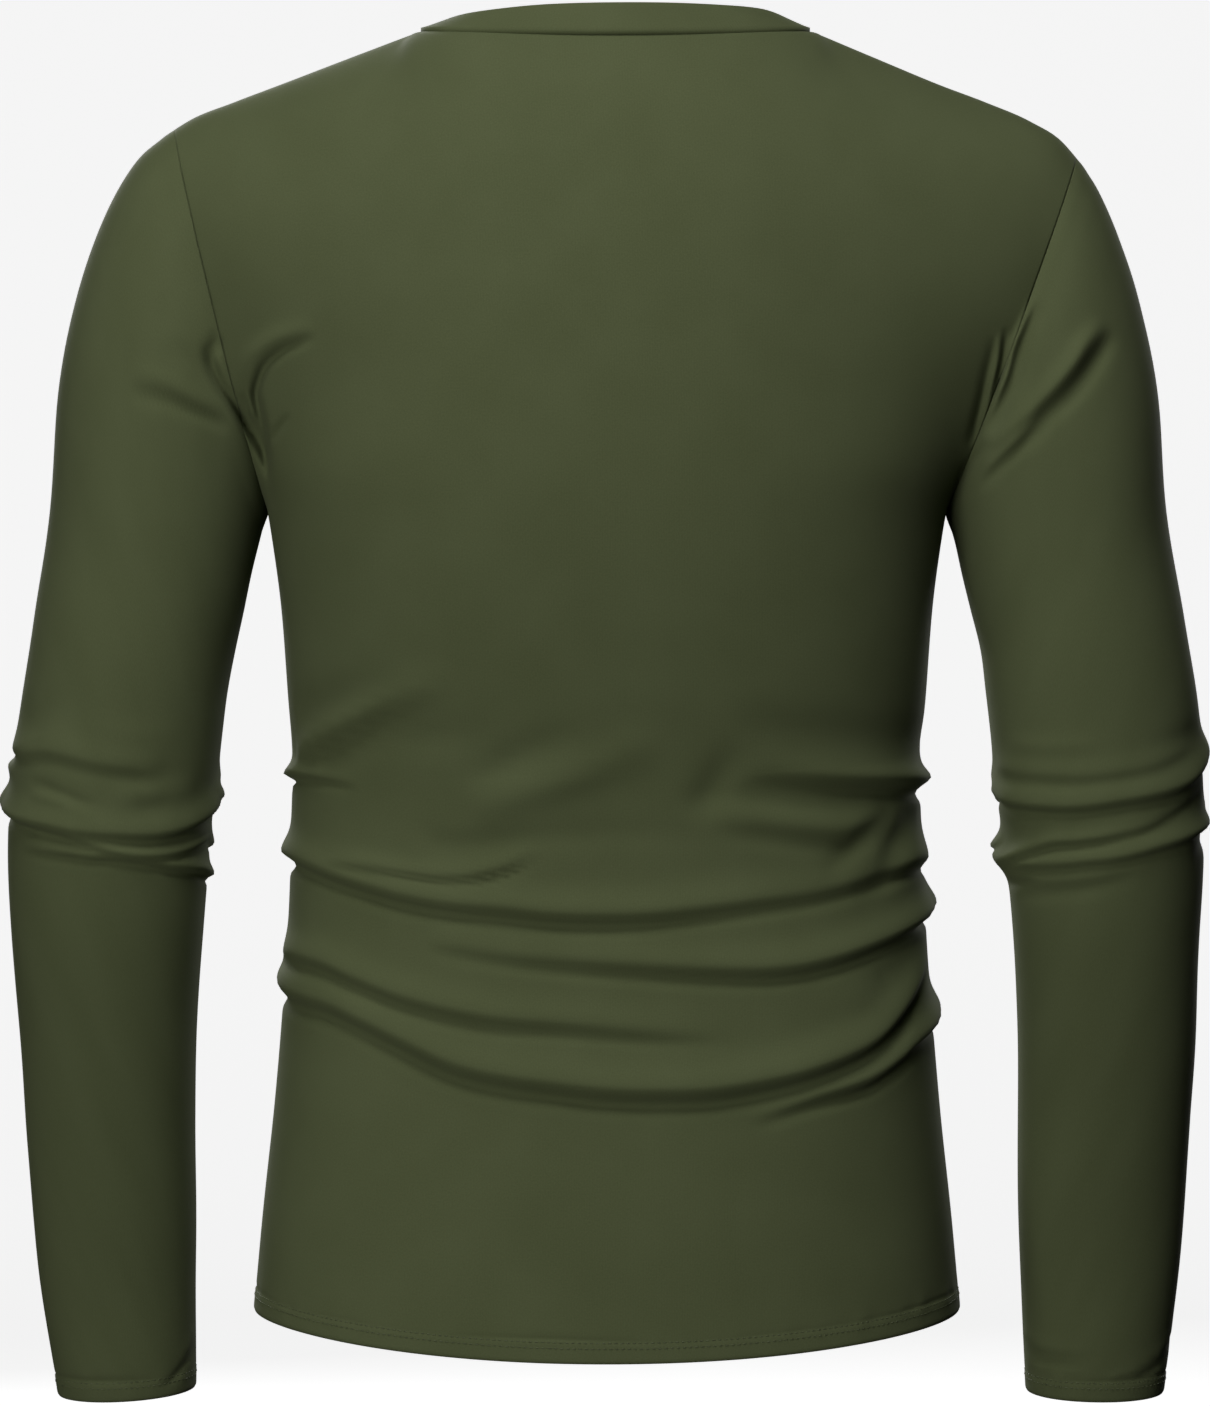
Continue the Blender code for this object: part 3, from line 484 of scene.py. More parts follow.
sleeves = {
    "left": table(
        "inner innerDown outer outerDown middle back front",
        (173, 244, 221, 48.5, -5, 56, 56),
        (175.5, 250, 240, 65, -3, 59, 58),
        (178, 260, 257.5, 95, -2, 61, 59),
        (182, 277, 271, 135, -1, 61, 59),
        (185.5, 294, 280, 183, 0, 60, 57),
        (190, 315, 284.5, 247, 1, 58, 55),
        (193.5, 336, 291.5, 297, 3, 56, 53),
        (196, 358, 299, 342, 4, 54, 52),
        (199, 385, 303.5, 378, 4, 53, 52),
        (203, 416, 305.5, 416, 2, 52, 52),
        (206.5, 458, 304.5, 460, -4, 51, 50),
        (210.5, 512, 301.5, 513, -14, 47, 46),
        (212, 572, 298.5, 573, -26, 42, 41),
        (213, 633, 294.5, 633.5, -37, 37, 36),
        (214, 697, 285.2, 700.7, -47, 33, 32)),
    "right": table(
        "inner innerDown outer outerDown middle back front",
        (173, 244, 240, 63, -5, 56, 56),
        (175.5, 251, 251, 80, -3, 59, 58),
        (178.5, 261, 262, 105, -2, 61, 59),
        (182, 277, 272.5, 138, -1, 61, 59),
        (186, 294, 281, 186, 0, 60, 57),
        (191, 315, 286, 248, 1, 58, 55),
        (193.5, 336, 294, 298, 3, 56, 53),
        (196, 358, 301, 342, 4, 54, 52),
        (198.5, 385, 303.5, 378, 4, 53, 52),
        (203.5, 416, 304.5, 416, 2, 52, 52),
        (207.5, 458, 303, 460, -4, 51, 50),
        (211, 512, 302, 513, -14, 47, 46),
        (212, 572, 300, 573, -26, 42, 41),
        (214, 633, 296.5, 633.5, -37, 37, 36),
        (218.2, 698.8, 289, 699.2, -47, 33, 32)),
    "stations": np.r_[0:0.12:5j, 0.16:3:34j, 3.08:6:26j, 6.05:10.4:92j, 10.45:13.75:56j, 13.77:14:17j],
    "columns": 168,
    "cuffDrop": 2.3,  # how much lower the back of the cuff hangs
    "cuffStations": (12.5, 14.0),
    "waves": {"size": 60, "tall": 0.8, "fromTop": 30, "seed": 8.0},
    "allowance": {"proud": 0.3, "rising": (0, 5), "falling": (6, 12)},  # the armhole's, inside the sleeve
}

# Round is measured from the middle of the sleeve's back, plus on its outer side.
leftElbow = [
    fold(9, 0.35, (100, 366, 0), (82, 366, 1), (54, 366, 2), (34, 365, 2), (21, 367, 2), (4, 371, 1.8),
         (-16, 374, 1.4), (-30, 377, 0)),
    crease(2.6, (100, 369, 0), (82, 369, -2.4), (66, 369, -1.4), (50, 370, 0)),
    crease(4.5, (60, 375, 0), (74, 374.5, 1.6), (85, 374, 3), (100, 373, 2.5), (120, 372, 0)),
    crease(3, (44, 382, 0), (33, 384, -1.1), (22, 388, -1.3), (10, 392, -0.9), (0, 395, 0)),
    crease(3, (44, 388, 0), (33, 389, 0.9), (21, 391, 1.1), (14, 395, 0.6), (5, 399, 0)),
    fold(8, 0.3, (118, 383, 0), (100, 387, 3), (84, 391, 5), (76, 394, 4.2), (62, 397, 3.4), (48, 399, 3.1),
         (30, 401, 3.1), (14, 404, 3.3), (0, 406, 3.6), (-15, 407, 3.8), (-27, 407, 4), (-40, 405, 4),
         (-58, 400, 4), (-75, 394, 4), (-84, 390, 3.8), (-105, 386, 2), (-122, 383, 0), low=0.36),
    fold(4, 0.3, (90, 398, 0), (70, 399, 0.9), (56, 401, 1.6), (41, 403, 1.9), (25, 406, 2.1),
         (13, 409, 2.3), (2, 412, 2.3), (-8, 415, 2.5), (-20, 417, 2.7), (-33, 417, 2.7), (-47, 415, 2.5),
         (-63, 411, 2), (-80, 407, 0), low=0.55),
    crease(2.4, (-30, 411, 0), (-42, 411, -1.3), (-59, 407.5, -1.8), (-75, 404, -1.8), (-92, 400, 0)),
    crease(2, (88, 400, 0), (75, 400, -1.3), (61, 402, -1.6), (40, 406, -1.5), (25, 409, -1.3),
           (13, 412, -1), (0, 416, 0)),
    fold(5, 0.4, (50, 413, 0), (36, 415, 0.9), (24, 416, 1.5), (11, 417.5, 1.9), (0, 418.5, 2.3),
         (-16, 420, 2.5), (-28, 422, 2.5), (-42, 424, 2.6), (-62, 426, 2.8), (-75, 428, 3.2),
         (-84, 429, 3.4), (-100, 429, 1.6), (-114, 428, 0), low=0.4),
    crease(1.8, (44, 417, 0), (24, 419, -0.7), (0, 421.5, -1.1), (-16, 423, -1.1), (-42, 427, -1.1),
           (-58, 429, -0.8), (-72, 431, 0)),
    crease(7, (4, 379, 0), (-13, 380, -1.1), (-29, 380, -0.9), (-46, 378, 0)),
    crease(6, (-10, 396, 0), (-24, 395, -1), (-38, 393, 0)),
    crease(7, (0, 389, 0), (-20, 387, 0.9), (-40, 385, 0.6), (-55, 383, 0)),
    crease(8, (66, 340, 0), (48, 352, -0.8), (34, 345, -0.8), (14, 333, 0)),
    crease(7, (20, 350, 0), (0, 356, 0.6), (-20, 358, 0.6), (-40, 356, 0)),
    # at the cuff
    crease(2.4, (-18, 694, 0), (-28, 691, -0.7), (-38, 684, -1), (-48, 679, -0.6), (-56, 676, 0)),
    crease(1.8, (-30, 682, 0), (-38, 678, 0.6), (-46, 671, 0.7), (-54, 667, 0)),
    crease(3, (36, 690, 0), (20, 691, -0.3), (4, 690, -0.4), (-14, 691, 0)),
]

rightElbow = [
    crease(5, (-60, 363, 0), (-45, 363, 0.6), (-30, 364, 0.8), (-15, 363, 0.6), (0, 362, 0)),
    fold(6, 0.3, (-75, 372, 0), (-59, 375, 1), (-27, 377, 1.4), (-11, 377, 1.4), (6, 375, 1.3), (23, 372, 1),
         (40, 366, 0.6), (55, 360, 0), low=0.6),
    fold(8, 0.35, (-112, 383, 0), (-83, 386, 1.8), (-70, 389, 2.6), (-58, 391, 3.2), (-28, 393, 3.4),
         (-12, 392.5, 3.4), (5, 390, 3.4), (21, 387.5, 3.6), (37, 384, 3.8), (51, 379.5, 4), (68, 371, 4),
         (77, 366, 4), (95, 361, 2.4), (110, 357, 0), low=0.36),
    crease(9, (-40, 425, 0), (-60, 422, 2.4), (-74, 420, 5.2), (-84, 418.5, 7), (-100, 418, 6),
           (-120, 417, 3), (-142, 416, 0)),
    fold(5, 0.35, (-84, 423, 0), (-66, 421, 1.7), (-53, 417.5, 2.3), (-42, 414.5, 2.5), (-30, 411.5, 2.5),
         (-17, 410.5, 2.3), (-5, 408.5, 2), (3, 406.5, 1.6), (16, 403.5, 1), (30, 399, 0), low=0.42),
    crease(2, (-76, 424, 0), (-66, 423, -1.4), (-53, 419.5, -1.6), (-42, 416.5, -1.4), (-30, 413.5, -1.1),
           (-14, 412.5, -0.8), (0, 410, 0)),
    crease(3, (70, 383, 0), (55, 391, -1.6), (41, 397, -1.8), (30, 402, -1.5), (20, 406, -1), (8, 410, 0)),
    fold(6, 0.35, (-78, 425, 0), (-56, 422.5, 1.9), (-35, 422.5, 2.7), (-14, 420.5, 3), (2, 418.5, 3.2),
         (19, 414.5, 3.4), (40, 409.5, 3.6), (61, 404.5, 3.8), (75, 402, 3), (90, 400, 1.6), (110, 399, 0),
         low=0.4),
    crease(5, (48, 420, 0), (62, 414, -1.6), (76, 411, -2.2), (96, 409, -1.4), (112, 407, 0)),
    crease(2.2, (-84, 434, 0), (-72, 433.5, -1.5), (-54, 432.5, -1.1), (-40, 431.5, 0)),
    crease(4, (-62, 439, 0), (-50, 438, -0.9), (-31, 437, -1.1), (-14, 435, -1.1), (-2, 432, -0.8),
           (12, 426, 0)),
    crease(5, (-56, 430, 0), (-35, 430, 0.8), (-14, 428, 1), (4, 424, 0.8), (22, 418, 0)),
    crease(6, (66, 352, 0), (52, 358, -0.8), (36, 362, -0.6), (20, 364, 0)),
    # at the cuff
    crease(2.2, (-60, 674, 0), (-46, 676, -0.9), (-30, 680, -1.1), (-16, 680, -0.8), (0, 677, 0)),
    crease(3, (-56, 669, 0), (-40, 672, 0.6), (-22, 675, 0.6), (-6, 674, 0)),
    crease(2.6, (10, 692, 0), (22, 688, -0.7), (34, 683, -1.1), (46, 676, -1.1), (58, 668, 0)),
    crease(2.2, (2, 688, 0), (16, 684, 0.5), (30, 678, 0.7), (44, 670, 0.5), (54, 662, 0)),
]

elbowFolds = {"left": leftElbow, "right": rightElbow}

# Inside the elbow, round is measured from the middle of the sleeve's front.
crookFolds = [
    fold(6, 0.7, (90, 372, 0), (40, 370, 3), (-30, 372, 4), (-85, 380, 0)),
    fold(6, 0.7, (92, 392, 0), (30, 396, 4), (-40, 394, 4), (-90, 386, 0)),
    fold(5, 0.7, (85, 418, 0), (20, 420, 3), (-50, 416, 4), (-92, 410, 0)),
]


def ringPoints(side, turns):
    rings, stations = sleeves[side], sleeves["stations"]
    at = {name: smoothCurve(np.arange(len(rings[name])), rings[name], stations)[:, None] for name in rings}
    sine, cosine = np.sin(np.radians(turns)), np.cos(np.radians(turns))
    depth = np.where(cosine > 0, at["back"], -at["front"]) * rounded(sine, cut["sleeveSquare"])
    out = (at["inner"] + at["outer"]) / 2 + (at["outer"] - at["inner"]) / 2 * sine
    down = (at["innerDown"] + at["outerDown"]) / 2 + (at["outerDown"] - at["innerDown"]) / 2 * sine
    drop = sleeves["cuffDrop"] * ease(*sleeves["cuffStations"], stations)[:, None] * cosine
    return vectors(signOf[side] * out, at["middle"] + depth, -down - drop)


def sleeveSurface(side):
    columns = sleeves["columns"]
    turns = -90 + 360 / columns * np.arange(columns + 1)  # the last column closes onto the first
    base = ringPoints(side, turns)
    fine = np.linspace(-180, 180, 361)
    along = alongRows(ringPoints(side, fine))
    along -= along[:, [len(fine) // 2]]
    wrapped = (turns + 180) % 360 - 180
    fromBack = np.array([np.interp(wrapped, fine, row) for row in along])
    fromFront = whichSide(fromBack) * (along[:, -1:] - np.abs(fromBack))
    down = -base[..., 2]
    heights = foldHeights(elbowFolds[side], fromBack, down) + foldHeights(crookFolds, fromFront, down)
    lengths, waves, allowance = alongColumns(base), sleeves["waves"], sleeves["allowance"]
    swelling = softWaves(base[:, :-1], waves, waves["seed"] + signOf[side])
    heights += np.concatenate([swelling, swelling[:, :1]], 1) * ease(0, waves["fromTop"], lengths)
    deep, wide = body["seamDip"]
    heights -= deep * np.exp(-((lengths / wide) ** 2))
    inside = ease(*allowance["rising"], lengths) * (1 - ease(*allowance["falling"], lengths))
    heights += allowance["proud"] * inside
    inPlace = ease(0, hem["fromSeam"]["sleeve"], np.abs(fromFront))
    heights += hemHeights(lengths[-1:] - lengths, fromBack, inPlace)
    around = np.concatenate([base[:, -2:-1], base, base[:, 1:2]], 1)
    across = np.gradient(around, axis=1)[:, 1:-1]
    normals = unit(np.cross(across, np.gradient(base, axis=0))) * signOf[side]
    cloth = np.stack([alongRows(base), -lengths], -1)
    return base + normals * heights[..., None] + armpitPush(base), cloth


neckband = {
    "height": 16.8,
    "thick": 2.2,
    "swell": 0.35,
    "groove": 0.16,
    "grooveWide": 1.3,
    "tuck": 2.0,  # how far it goes down inside the neck seam
    "inset": 0.4,
    "flush": 0.5,  # how far the foot of the band draws in at the neck points
    "flushWide": 2.0,
    "flushShape": 16,
    "columns": 132,  # on each of the back and the front
    "rows": 10,  # on each face
    "foldRows": 5,
    "lean": {"sides": 0.89, "centre": 0.42, "up": 0.44, "upCentre": 0.47},
    "lower": table("turn less", (-90, 1.5), (-75, 1.6), (-60, 0.4), (-30, 0), (0, 0.3), (30, 0.8),
                   (45, 1.7), (60, 2.5), (75, 3.2), (90, 2.7)),  # how much lower the folded edge is
}


def bandDirections(ahead, turn):
    cosine, sine = np.cos(np.radians(turn)).clip(0), np.sin(np.radians(turn))
    lean = neckband["lean"]
    stand = unit(vectors(-lean["sides"] * sine, -ahead * lean["centre"] * cosine,
                         lean["up"] + lean["upCentre"] * cosine))
    step = 1e-3
    along = unit(neckCurve(ahead, turn + step) - neckCurve(ahead, turn - step))
    return stand, unit(np.cross(along, stand)) * ahead


def bandSection():  # up the outer face, over the fold and down the inner face, as height and out
    tall, thick = neckband["height"], neckband["thick"]
    section = [(-neckband["tuck"], -neckband["groove"] - neckband["inset"])]
    for share in np.linspace(0, 1, neckband["rows"]):
        height = share * (tall - thick / 2)
        groove = neckband["groove"] * math.exp(-(height / neckband["grooveWide"]) ** 2)
        section.append((height, neckband["swell"] * math.sin(math.pi * share) - groove))
    for turn in np.linspace(0, math.pi, neckband["foldRows"] + 2)[1:-1]:
        section.append((tall - thick / 2 * (1 - math.sin(turn)), -thick / 2 * (1 - math.cos(turn))))
    for share in np.linspace(1, 0, neckband["rows"]):
        section.append((share * (tall - thick / 2), -thick))
    return section + [(-neckband["tuck"], -thick), section[0]]


def bandSurface():
    loops, lower = [], neckband["lower"]
    for ahead in (1, -1):
        turns = np.linspace(-90, 90, neckband["columns"] + 1)[::ahead][:-1]
        less = smoothCurve(lower["turn"], lower["less"], turns)
        if ahead < 0:  # the front takes the back's ends and dies out from them
            less = smoothCurve(lower["turn"], lower["less"], 90 * np.sign(turns))
            less *= np.sin(np.radians(turns)) ** 2
        sinking = vectors(0, 0, -less / neckband["height"])
        flush = neckband["flush"] * (np.abs(turns) / 90)[:, None] ** neckband["flushShape"]
        loops.append((neckCurve(ahead, turns), *bandDirections(ahead, turns), sinking, flush))
    seam, stand, outer, sinking, flush = (np.concatenate([*parts, parts[0][:1]]) for parts in zip(*loops))
    section, rows = bandSection(), []
    for height, out in section:
        above = max(height, 0)
        drawnIn = flush * math.exp(-(above / neckband["flushWide"]) ** 2)
        upright = (stand + sinking) * above + vectors(0, 0, height - above)
        rows.append(seam + upright + outer * (out - drawnIn))
    around, across = alongColumns(seam), alongColumns(np.array(section))
    return np.array(rows), np.stack(np.broadcast_arrays(around[None], -across[:, None]), -1)


# A point inside the curve of each piece tells its outer side.
middleOf = {
    "backPanel": (0, -0.05, -0.3),
    "frontPanel": (0, 0.05, -0.3),
    "leftSleeve": (0.25, -0.01, -0.4),
    "rightSleeve": (-0.25, -0.01, -0.4),
    "neckBand": (0, 0, 0),
}


def newPiece(name, bm, material):
    mesh = bpy.data.meshes.new(name)
    bm.to_mesh(mesh)
    bm.free()
    mesh.shade_smooth()
    mesh.materials.append(material)
    piece = bpy.data.objects.new(name, mesh)
    bpy.context.scene.collection.objects.link(piece)
    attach(piece, "root")
    print(name, "made of", len(mesh.polygons), "faces")
    return piece


def clothPiece(name, points, cloth, material, thickness=0.0, weld=False):
    rows, columns = points.shape[:2]
    bm = bmesh.new()
    bmesh.ops.create_grid(bm, x_segments=columns - 1, y_segments=rows - 1, size=1)
    uvLayer = bm.loops.layers.uv.new("cloth")
    place = {}
    for vert in bm.verts:
        column = round((vert.co.x + 1) / 2 * (columns - 1))
        row = round((1 - vert.co.y) / 2 * (rows - 1))
        place[vert.index] = (row, column)
    for vert in bm.verts:
        row, column = place[vert.index]
        vert.co = points[row, column] * mm
    for face in bm.faces:
        for loop in face.loops:
            loop[uvLayer].uv = cloth[place[loop.vert.index]] * mm
    if weld:
        bmesh.ops.remove_doubles(bm, verts=bm.verts, dist=mm / 1000)
    bmesh.ops.recalc_face_normals(bm, faces=bm.faces)
    middle = Vector(middleOf[name])
    outward = sum(face.normal.dot(face.calc_center_median() - middle) * face.calc_area()
                  for face in bm.faces)
    if outward < 0:
        bmesh.ops.reverse_faces(bm, faces=bm.faces)
    piece = newPiece(name, bm, material)
    if thickness:
        wall = piece.modifiers.new("cloth thickness", "SOLIDIFY")
        wall.thickness = thickness * mm
        wall.offset = -1
    return piece


stitches = {
    "levels": (7.6, 10.4),  # above the edge
    "over": 2,  # the way up the cloth is taken over this much
    "first": 0.4,
    "pitch": 3.0,
    "long": 2.3,
    "half": 0.231,  # of the sphere, whose two rings are narrower and stand 0.2 out
    "proud": 0.12,
    "sunk": 0.25,  # how far each end dips under the rest
    "color": (0.068, 0.083, 0.035, 1.0),
    "roughness": 0.6,
    "middle": {"hemStitches": (0, 0, 0), "leftCuffStitches": (250, -47, 0),
               "rightCuffStitches": (-253.6, -47, 0)},
}


def stitchRows(points):  # the rows that hold a turned-up edge, and the way up the cloth from them
    lengths = alongColumns(points)
    toHem = lengths[-1:] - lengths
    for level in stitches["levels"]:
        line, below = (np.array([[np.interp(-height, -toHem[:, column], points[:, column, i])
                                  for i in range(3)] for column in range(points.shape[1])])
                       for height in (level, level - stitches["over"]))
        yield line, unit(line - below)


def stitchPiece(name, *surfaces):
    bm = bmesh.new()
    half, long = stitches["half"], stitches["long"]
    for points in surfaces:
        for line, up in stitchRows(points):
            along = alongColumns(line)
            for start in np.arange(stitches["first"], along[-1] - long, stitches["pitch"]):
                first, last = np.stack([np.interp((start, start + long), along, line[:, i])
                                        for i in range(3)], -1)
                over = np.array([np.interp(start, along, up[:, i]) for i in range(3)])
                out = unit(np.cross(last - first, over))
                out *= np.sign(out @ (first * (1, 1, 0) - stitches["middle"][name]))
                centre = (first + last) / 2 + out * stitches["proud"]
                place = np.column_stack([over * half, out * half, (last - first) / 2, centre]) * mm
                sphere = bmesh.ops.create_uvsphere(bm, u_segments=4, v_segments=3, radius=1,
                                                   matrix=Matrix((*place.tolist(), (0, 0, 0, 1))))
                ends = [vert for vert in sphere["verts"]
                        if (vert.co - Vector(centre * mm)).length > 0.4 * long * mm]
                bmesh.ops.translate(bm, verts=ends, vec=Vector(out * -stitches["sunk"] * mm))
    bmesh.ops.recalc_face_normals(bm, faces=bm.faces)
    newPiece(name, bm, thread)


knitLook = {
    "slant": 1.3,  # how far the loops of a wale lean into a V
    "ridge": 0.8,
    "loop": 0.25,
    "yarn": {"scale": 1.1, "detail": 2.0, "share": 0.55},
    "patches": {"scale": 0.02, "detail": 3.0, "share": 0.45},
}


def knitGroup():
    group = bpy.data.node_groups.new("knit", "ShaderNodeTree")
    for way, kind, names in (("INPUT", "Vector", "Cloth"), ("INPUT", "Float", "Wale Course Variation"),
                             ("INPUT", "Color", "Dark Light"), ("OUTPUT", "Color", "Color"),
                             ("OUTPUT", "Float", "Height")):
        for name in names.split():
            group.interface.new_socket(name, in_out=way, socket_type="NodeSocket" + kind)
    nodes, links = group.nodes, group.links
    start, end = nodes.new("NodeGroupInput"), nodes.new("NodeGroupOutput")

    def calculated(operation, *values):
        node = nodes.new("ShaderNodeMath")
        node.operation = operation
        for socket, value in zip(node.inputs, values):
            if isinstance(value, (int, float)):
                socket.default_value = value
            else:
                links.new(value, socket)
        return node.outputs[0]

    # wales and courses of the knit, from the cloth's own round and down
    split = nodes.new("ShaderNodeSeparateXYZ")
    links.new(start.outputs["Cloth"], split.inputs[0])
    wales = calculated("DIVIDE", split.outputs["X"], start.outputs["Wale"])
    inWale = calculated("ABSOLUTE", calculated("SUBTRACT", calculated("FRACT", wales), 0.5))
    courses = calculated("ADD", calculated("DIVIDE", split.outputs["Y"], start.outputs["Course"]),
                         calculated("MULTIPLY", inWale, knitLook["slant"]))
    loops = calculated("SINE", calculated("MULTIPLY", courses, 2 * math.pi))
    bowed = calculated("POWER", calculated("MULTIPLY", inWale, 2.0), 2.0)
    ridge = calculated("SUBTRACT", 1.0, calculated("MULTIPLY", bowed, knitLook["ridge"]))
    height = calculated("MULTIPLY_ADD", loops, knitLook["loop"], 1 - knitLook["loop"])
    links.new(calculated("MULTIPLY", ridge, height), end.inputs["Height"])

    # uneven tone, from the yarn and from the dye
    scaled = nodes.new("ShaderNodeVectorMath")
    scaled.operation = "SCALE"
    scaled.inputs["Scale"].default_value = 1 / mm
    links.new(start.outputs["Cloth"], scaled.inputs[0])

    def speckle(look):
        node = nodes.new("ShaderNodeTexNoise")
        node.inputs["Scale"].default_value = look["scale"]
        node.inputs["Detail"].default_value = look["detail"]
        links.new(scaled.outputs[0], node.inputs["Vector"])
        return calculated("MULTIPLY", node.outputs["Fac"], look["share"])

    uneven = calculated("ADD", speckle(knitLook["yarn"]), speckle(knitLook["patches"]))
    tone = calculated("MULTIPLY_ADD", calculated("SUBTRACT", uneven, 0.5), start.outputs["Variation"], 0.5)
    mix = nodes.new("ShaderNodeMix")
    mix.data_type = "RGBA"
    links.new(tone, mix.inputs["Factor"])
    links.new(start.outputs["Dark"], mix.inputs["A"])
    links.new(start.outputs["Light"], mix.inputs["B"])
    links.new(mix.outputs["Result"], end.inputs["Color"])
    return group


knit = knitGroup()

jerseyLook = {
    "Dark": (0.066, 0.079, 0.0315, 1.0),
    "Light": (0.097, 0.114, 0.0525, 1.0),
    "Variation": 1.6,
    "Wale": 0.8 * mm,
    "Course": 0.6 * mm,
    "bump": 0.25,
    "bumpDistance": 0.12 * mm,
    "Roughness": 0.92,
    "Metallic": 0.0,
    "Specular IOR Level": 0.18,
    "Sheen Weight": 0.04,
    "Sheen Roughness": 0.6,
    "Sheen Tint": (0.6, 0.66, 0.45, 1.0),
}
ribLook = dict(jerseyLook, Wale=1.6 * mm, Course=0.7 * mm, bump=0.35)


def knitMaterial(name, look):
    material = bpy.data.materials.new(name)
    material.use_nodes = True
    nodes, links = material.node_tree.nodes, material.node_tree.links
    surface = nodes["Principled BSDF"]
    for socket in ("Roughness", "Metallic", "Specular IOR Level", "Sheen Weight", "Sheen Roughness",
                   "Sheen Tint"):
        surface.inputs[socket].default_value = look[socket]
    uv = nodes.new("ShaderNodeUVMap")
    uv.uv_map = "cloth"
    pattern = nodes.new("ShaderNodeGroup")
    pattern.node_tree = knit
    for socket in ("Wale", "Course", "Variation", "Dark", "Light"):
        pattern.inputs[socket].default_value = look[socket]
    links.new(uv.outputs["UV"], pattern.inputs["Cloth"])
    links.new(pattern.outputs["Color"], surface.inputs["Base Color"])
    bump = nodes.new("ShaderNodeBump")
    bump.inputs["Strength"].default_value = look["bump"]
    bump.inputs["Distance"].default_value = look["bumpDistance"]
    links.new(pattern.outputs["Height"], bump.inputs["Height"])
    links.new(bump.outputs["Normal"], surface.inputs["Normal"])
    return material


jersey = knitMaterial("jersey", jerseyLook)
rib = knitMaterial("neckbandRib", ribLook)
thread = bpy.data.materials.new("thread")
thread.use_nodes = True
threadSurface = thread.node_tree.nodes["Principled BSDF"]
threadSurface.inputs["Base Color"].default_value = stitches["color"]
threadSurface.inputs["Roughness"].default_value = stitches["roughness"]
print("materials made")

backSurface, frontSurface = panelSurface(1), panelSurface(-1)
leftSurface, rightSurface = sleeveSurface("left"), sleeveSurface("right")
print("folds and creases laid in the cloth")

backPanel = clothPiece("backPanel", *backSurface, jersey, cut["cloth"])
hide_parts("back")

frontPanel = clothPiece("frontPanel", *frontSurface, jersey, cut["cloth"])
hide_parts("front")

leftSleeve = clothPiece("leftSleeve", *leftSurface, jersey, cut["cloth"], weld=True)
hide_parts("sleeve_left")

rightSleeve = clothPiece("rightSleeve", *rightSurface, jersey, cut["cloth"], weld=True)
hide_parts("sleeve_right")

neckBand = clothPiece("neckBand", *bandSurface(), rib, weld=True)
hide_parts("neckband")

stitchPiece("hemStitches", backSurface[0], frontSurface[0])
stitchPiece("leftCuffStitches", leftSurface[0])
stitchPiece("rightCuffStitches", rightSurface[0])

studio = {
    "floorLevel": -1.25,
    "radius": 7.0,
    "wallHeight": 7.0,
    "sweep": 2.0,  # the floor's curve up into the walls
    "sweepSteps": 12,
    "turns": 96,
    "paper": (0.85, 0.85, 0.85, 1.0),
    "paperRoughness": 0.95,
    "glow": 0.85,
    "world": (0.01, 0.01, 0.01, 1.0),
    "lights": {
        "top": {"place": (0.0, 0.99, 1.65), "size": 1.2, "watts": 30},
        "side": {"place": (1.28, 2.7, -0.55), "size": 1.5, "watts": 41},
        "frontKey": {"place": (1.1, -3.0, 1.2), "size": 1.4, "watts": 100},
        "frontFill": {"place": (-1.6, -2.9, 0.4), "size": 1.4, "watts": 34},
    },
    "aim": (0, 0.06, -0.34),
}


def areaLight(name, place, size, watts):
    data = bpy.data.lights.new(name, "AREA")
    data.shape, data.size, data.energy = "DISK", size, watts
    light = bpy.data.objects.new(name, data)
    light.location = place
    light.rotation_euler = (Vector(studio["aim"]) - Vector(place)).to_track_quat("-Z", "Y").to_euler()
    light.visible_camera = False
    bpy.context.scene.collection.objects.link(light)


for lightName, light in studio["lights"].items():
    areaLight(lightName, **light)

world = bpy.data.worlds.new("studioAir")
bpy.context.scene.world = world
world.use_nodes = True
world.node_tree.nodes["Background"].inputs["Color"].default_value = studio["world"]
world.node_tree.nodes["Background"].inputs["Strength"].default_value = 1.0

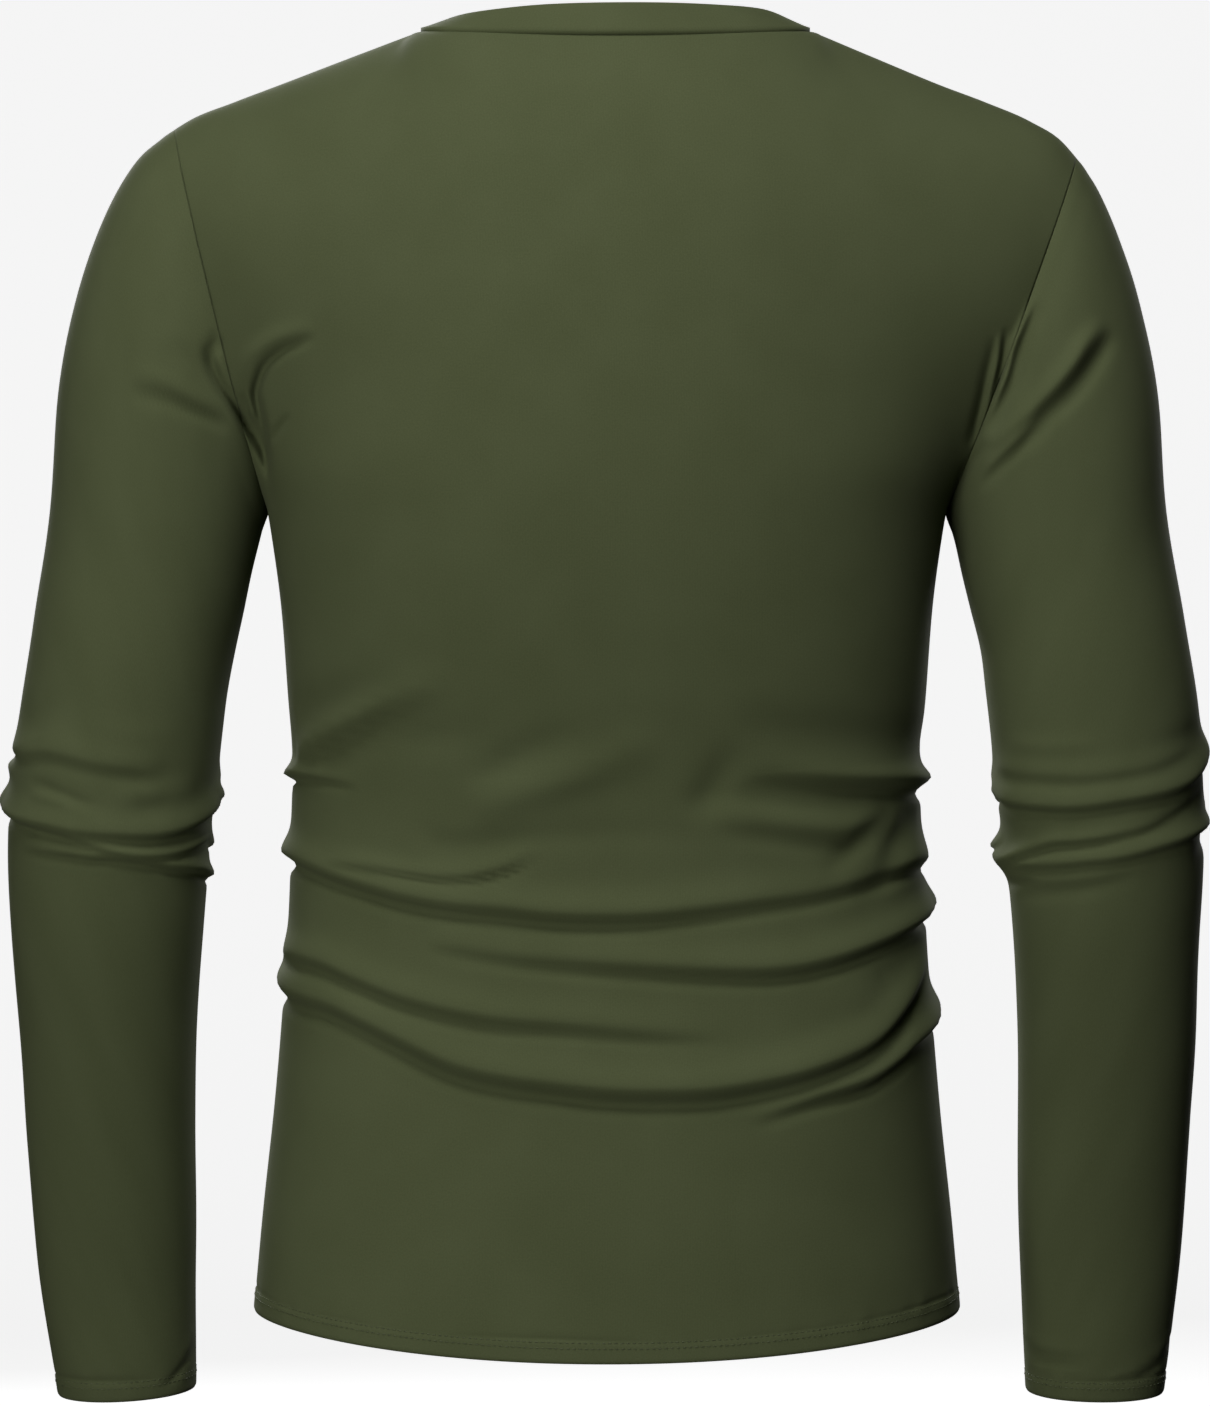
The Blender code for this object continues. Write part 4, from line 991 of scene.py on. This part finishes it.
# a pale floor that sweeps up into the walls all round
bm = bmesh.new()
floorLevel, radius, sweep = studio["floorLevel"], studio["radius"], studio["sweep"]
profile = [Vector((0, 0, floorLevel)), Vector((radius - sweep, 0, floorLevel))]
for turn in np.linspace(0, math.pi / 2, studio["sweepSteps"] + 1)[1:]:
    profile.append(Vector((radius - sweep + sweep * math.sin(turn), 0,
                           floorLevel + sweep - sweep * math.cos(turn))))
profile.append(Vector((radius, 0, floorLevel + studio["wallHeight"])))
rim = [bm.verts.new(point) for point in profile]
edges = [bm.edges.new(pair) for pair in zip(rim, rim[1:])]
bmesh.ops.spin(bm, geom=rim + edges, cent=(0, 0, 0), axis=(0, 0, 1), angle=2 * math.pi,
               steps=studio["turns"], use_merge=True)
bmesh.ops.remove_doubles(bm, verts=bm.verts, dist=mm / 100)
bmesh.ops.recalc_face_normals(bm, faces=bm.faces)
bmesh.ops.reverse_faces(bm, faces=bm.faces)
floorMesh = bpy.data.meshes.new("studioFloor")
bm.to_mesh(floorMesh)
bm.free()
floorMesh.shade_smooth()
paper = bpy.data.materials.new("studioPaper")
paper.use_nodes = True
paperSurface = paper.node_tree.nodes["Principled BSDF"]
paperSurface.inputs["Base Color"].default_value = studio["paper"]
paperSurface.inputs["Roughness"].default_value = studio["paperRoughness"]
paperSurface.inputs["Emission Color"].default_value = (1.0, 1.0, 1.0, 1.0)
paperSurface.inputs["Emission Strength"].default_value = studio["glow"]
floorMesh.materials.append(paper)
studioFloor = bpy.data.objects.new("studioFloor", floorMesh)
studioFloor.visible_diffuse = False
studioFloor.visible_glossy = False
studioFloor.visible_shadow = False
bpy.context.scene.collection.objects.link(studioFloor)
print("studio lit")

view = {
    "distance": 2.6,
    "x": 0.00102,
    "z": -0.3419,
    "tall": 1406 * 0.511 * mm,  # what the picture's height takes in at the shirt
    "sensor": 36.0,
}
cameraData = bpy.data.cameras.new("camera")
cameraData.sensor_width = view["sensor"]
cameraData.lens = view["sensor"] * view["distance"] / view["tall"]
camera = bpy.data.objects.new("camera", cameraData)
camera.location = (view["x"], view["distance"], view["z"])
camera.rotation_euler = (math.pi / 2, 0, math.pi)
bpy.context.scene.collection.objects.link(camera)
bpy.context.scene.camera = camera
bpy.context.scene.view_settings.view_transform = "Standard"
bpy.context.scene.view_settings.look = "None"
print("camera set")
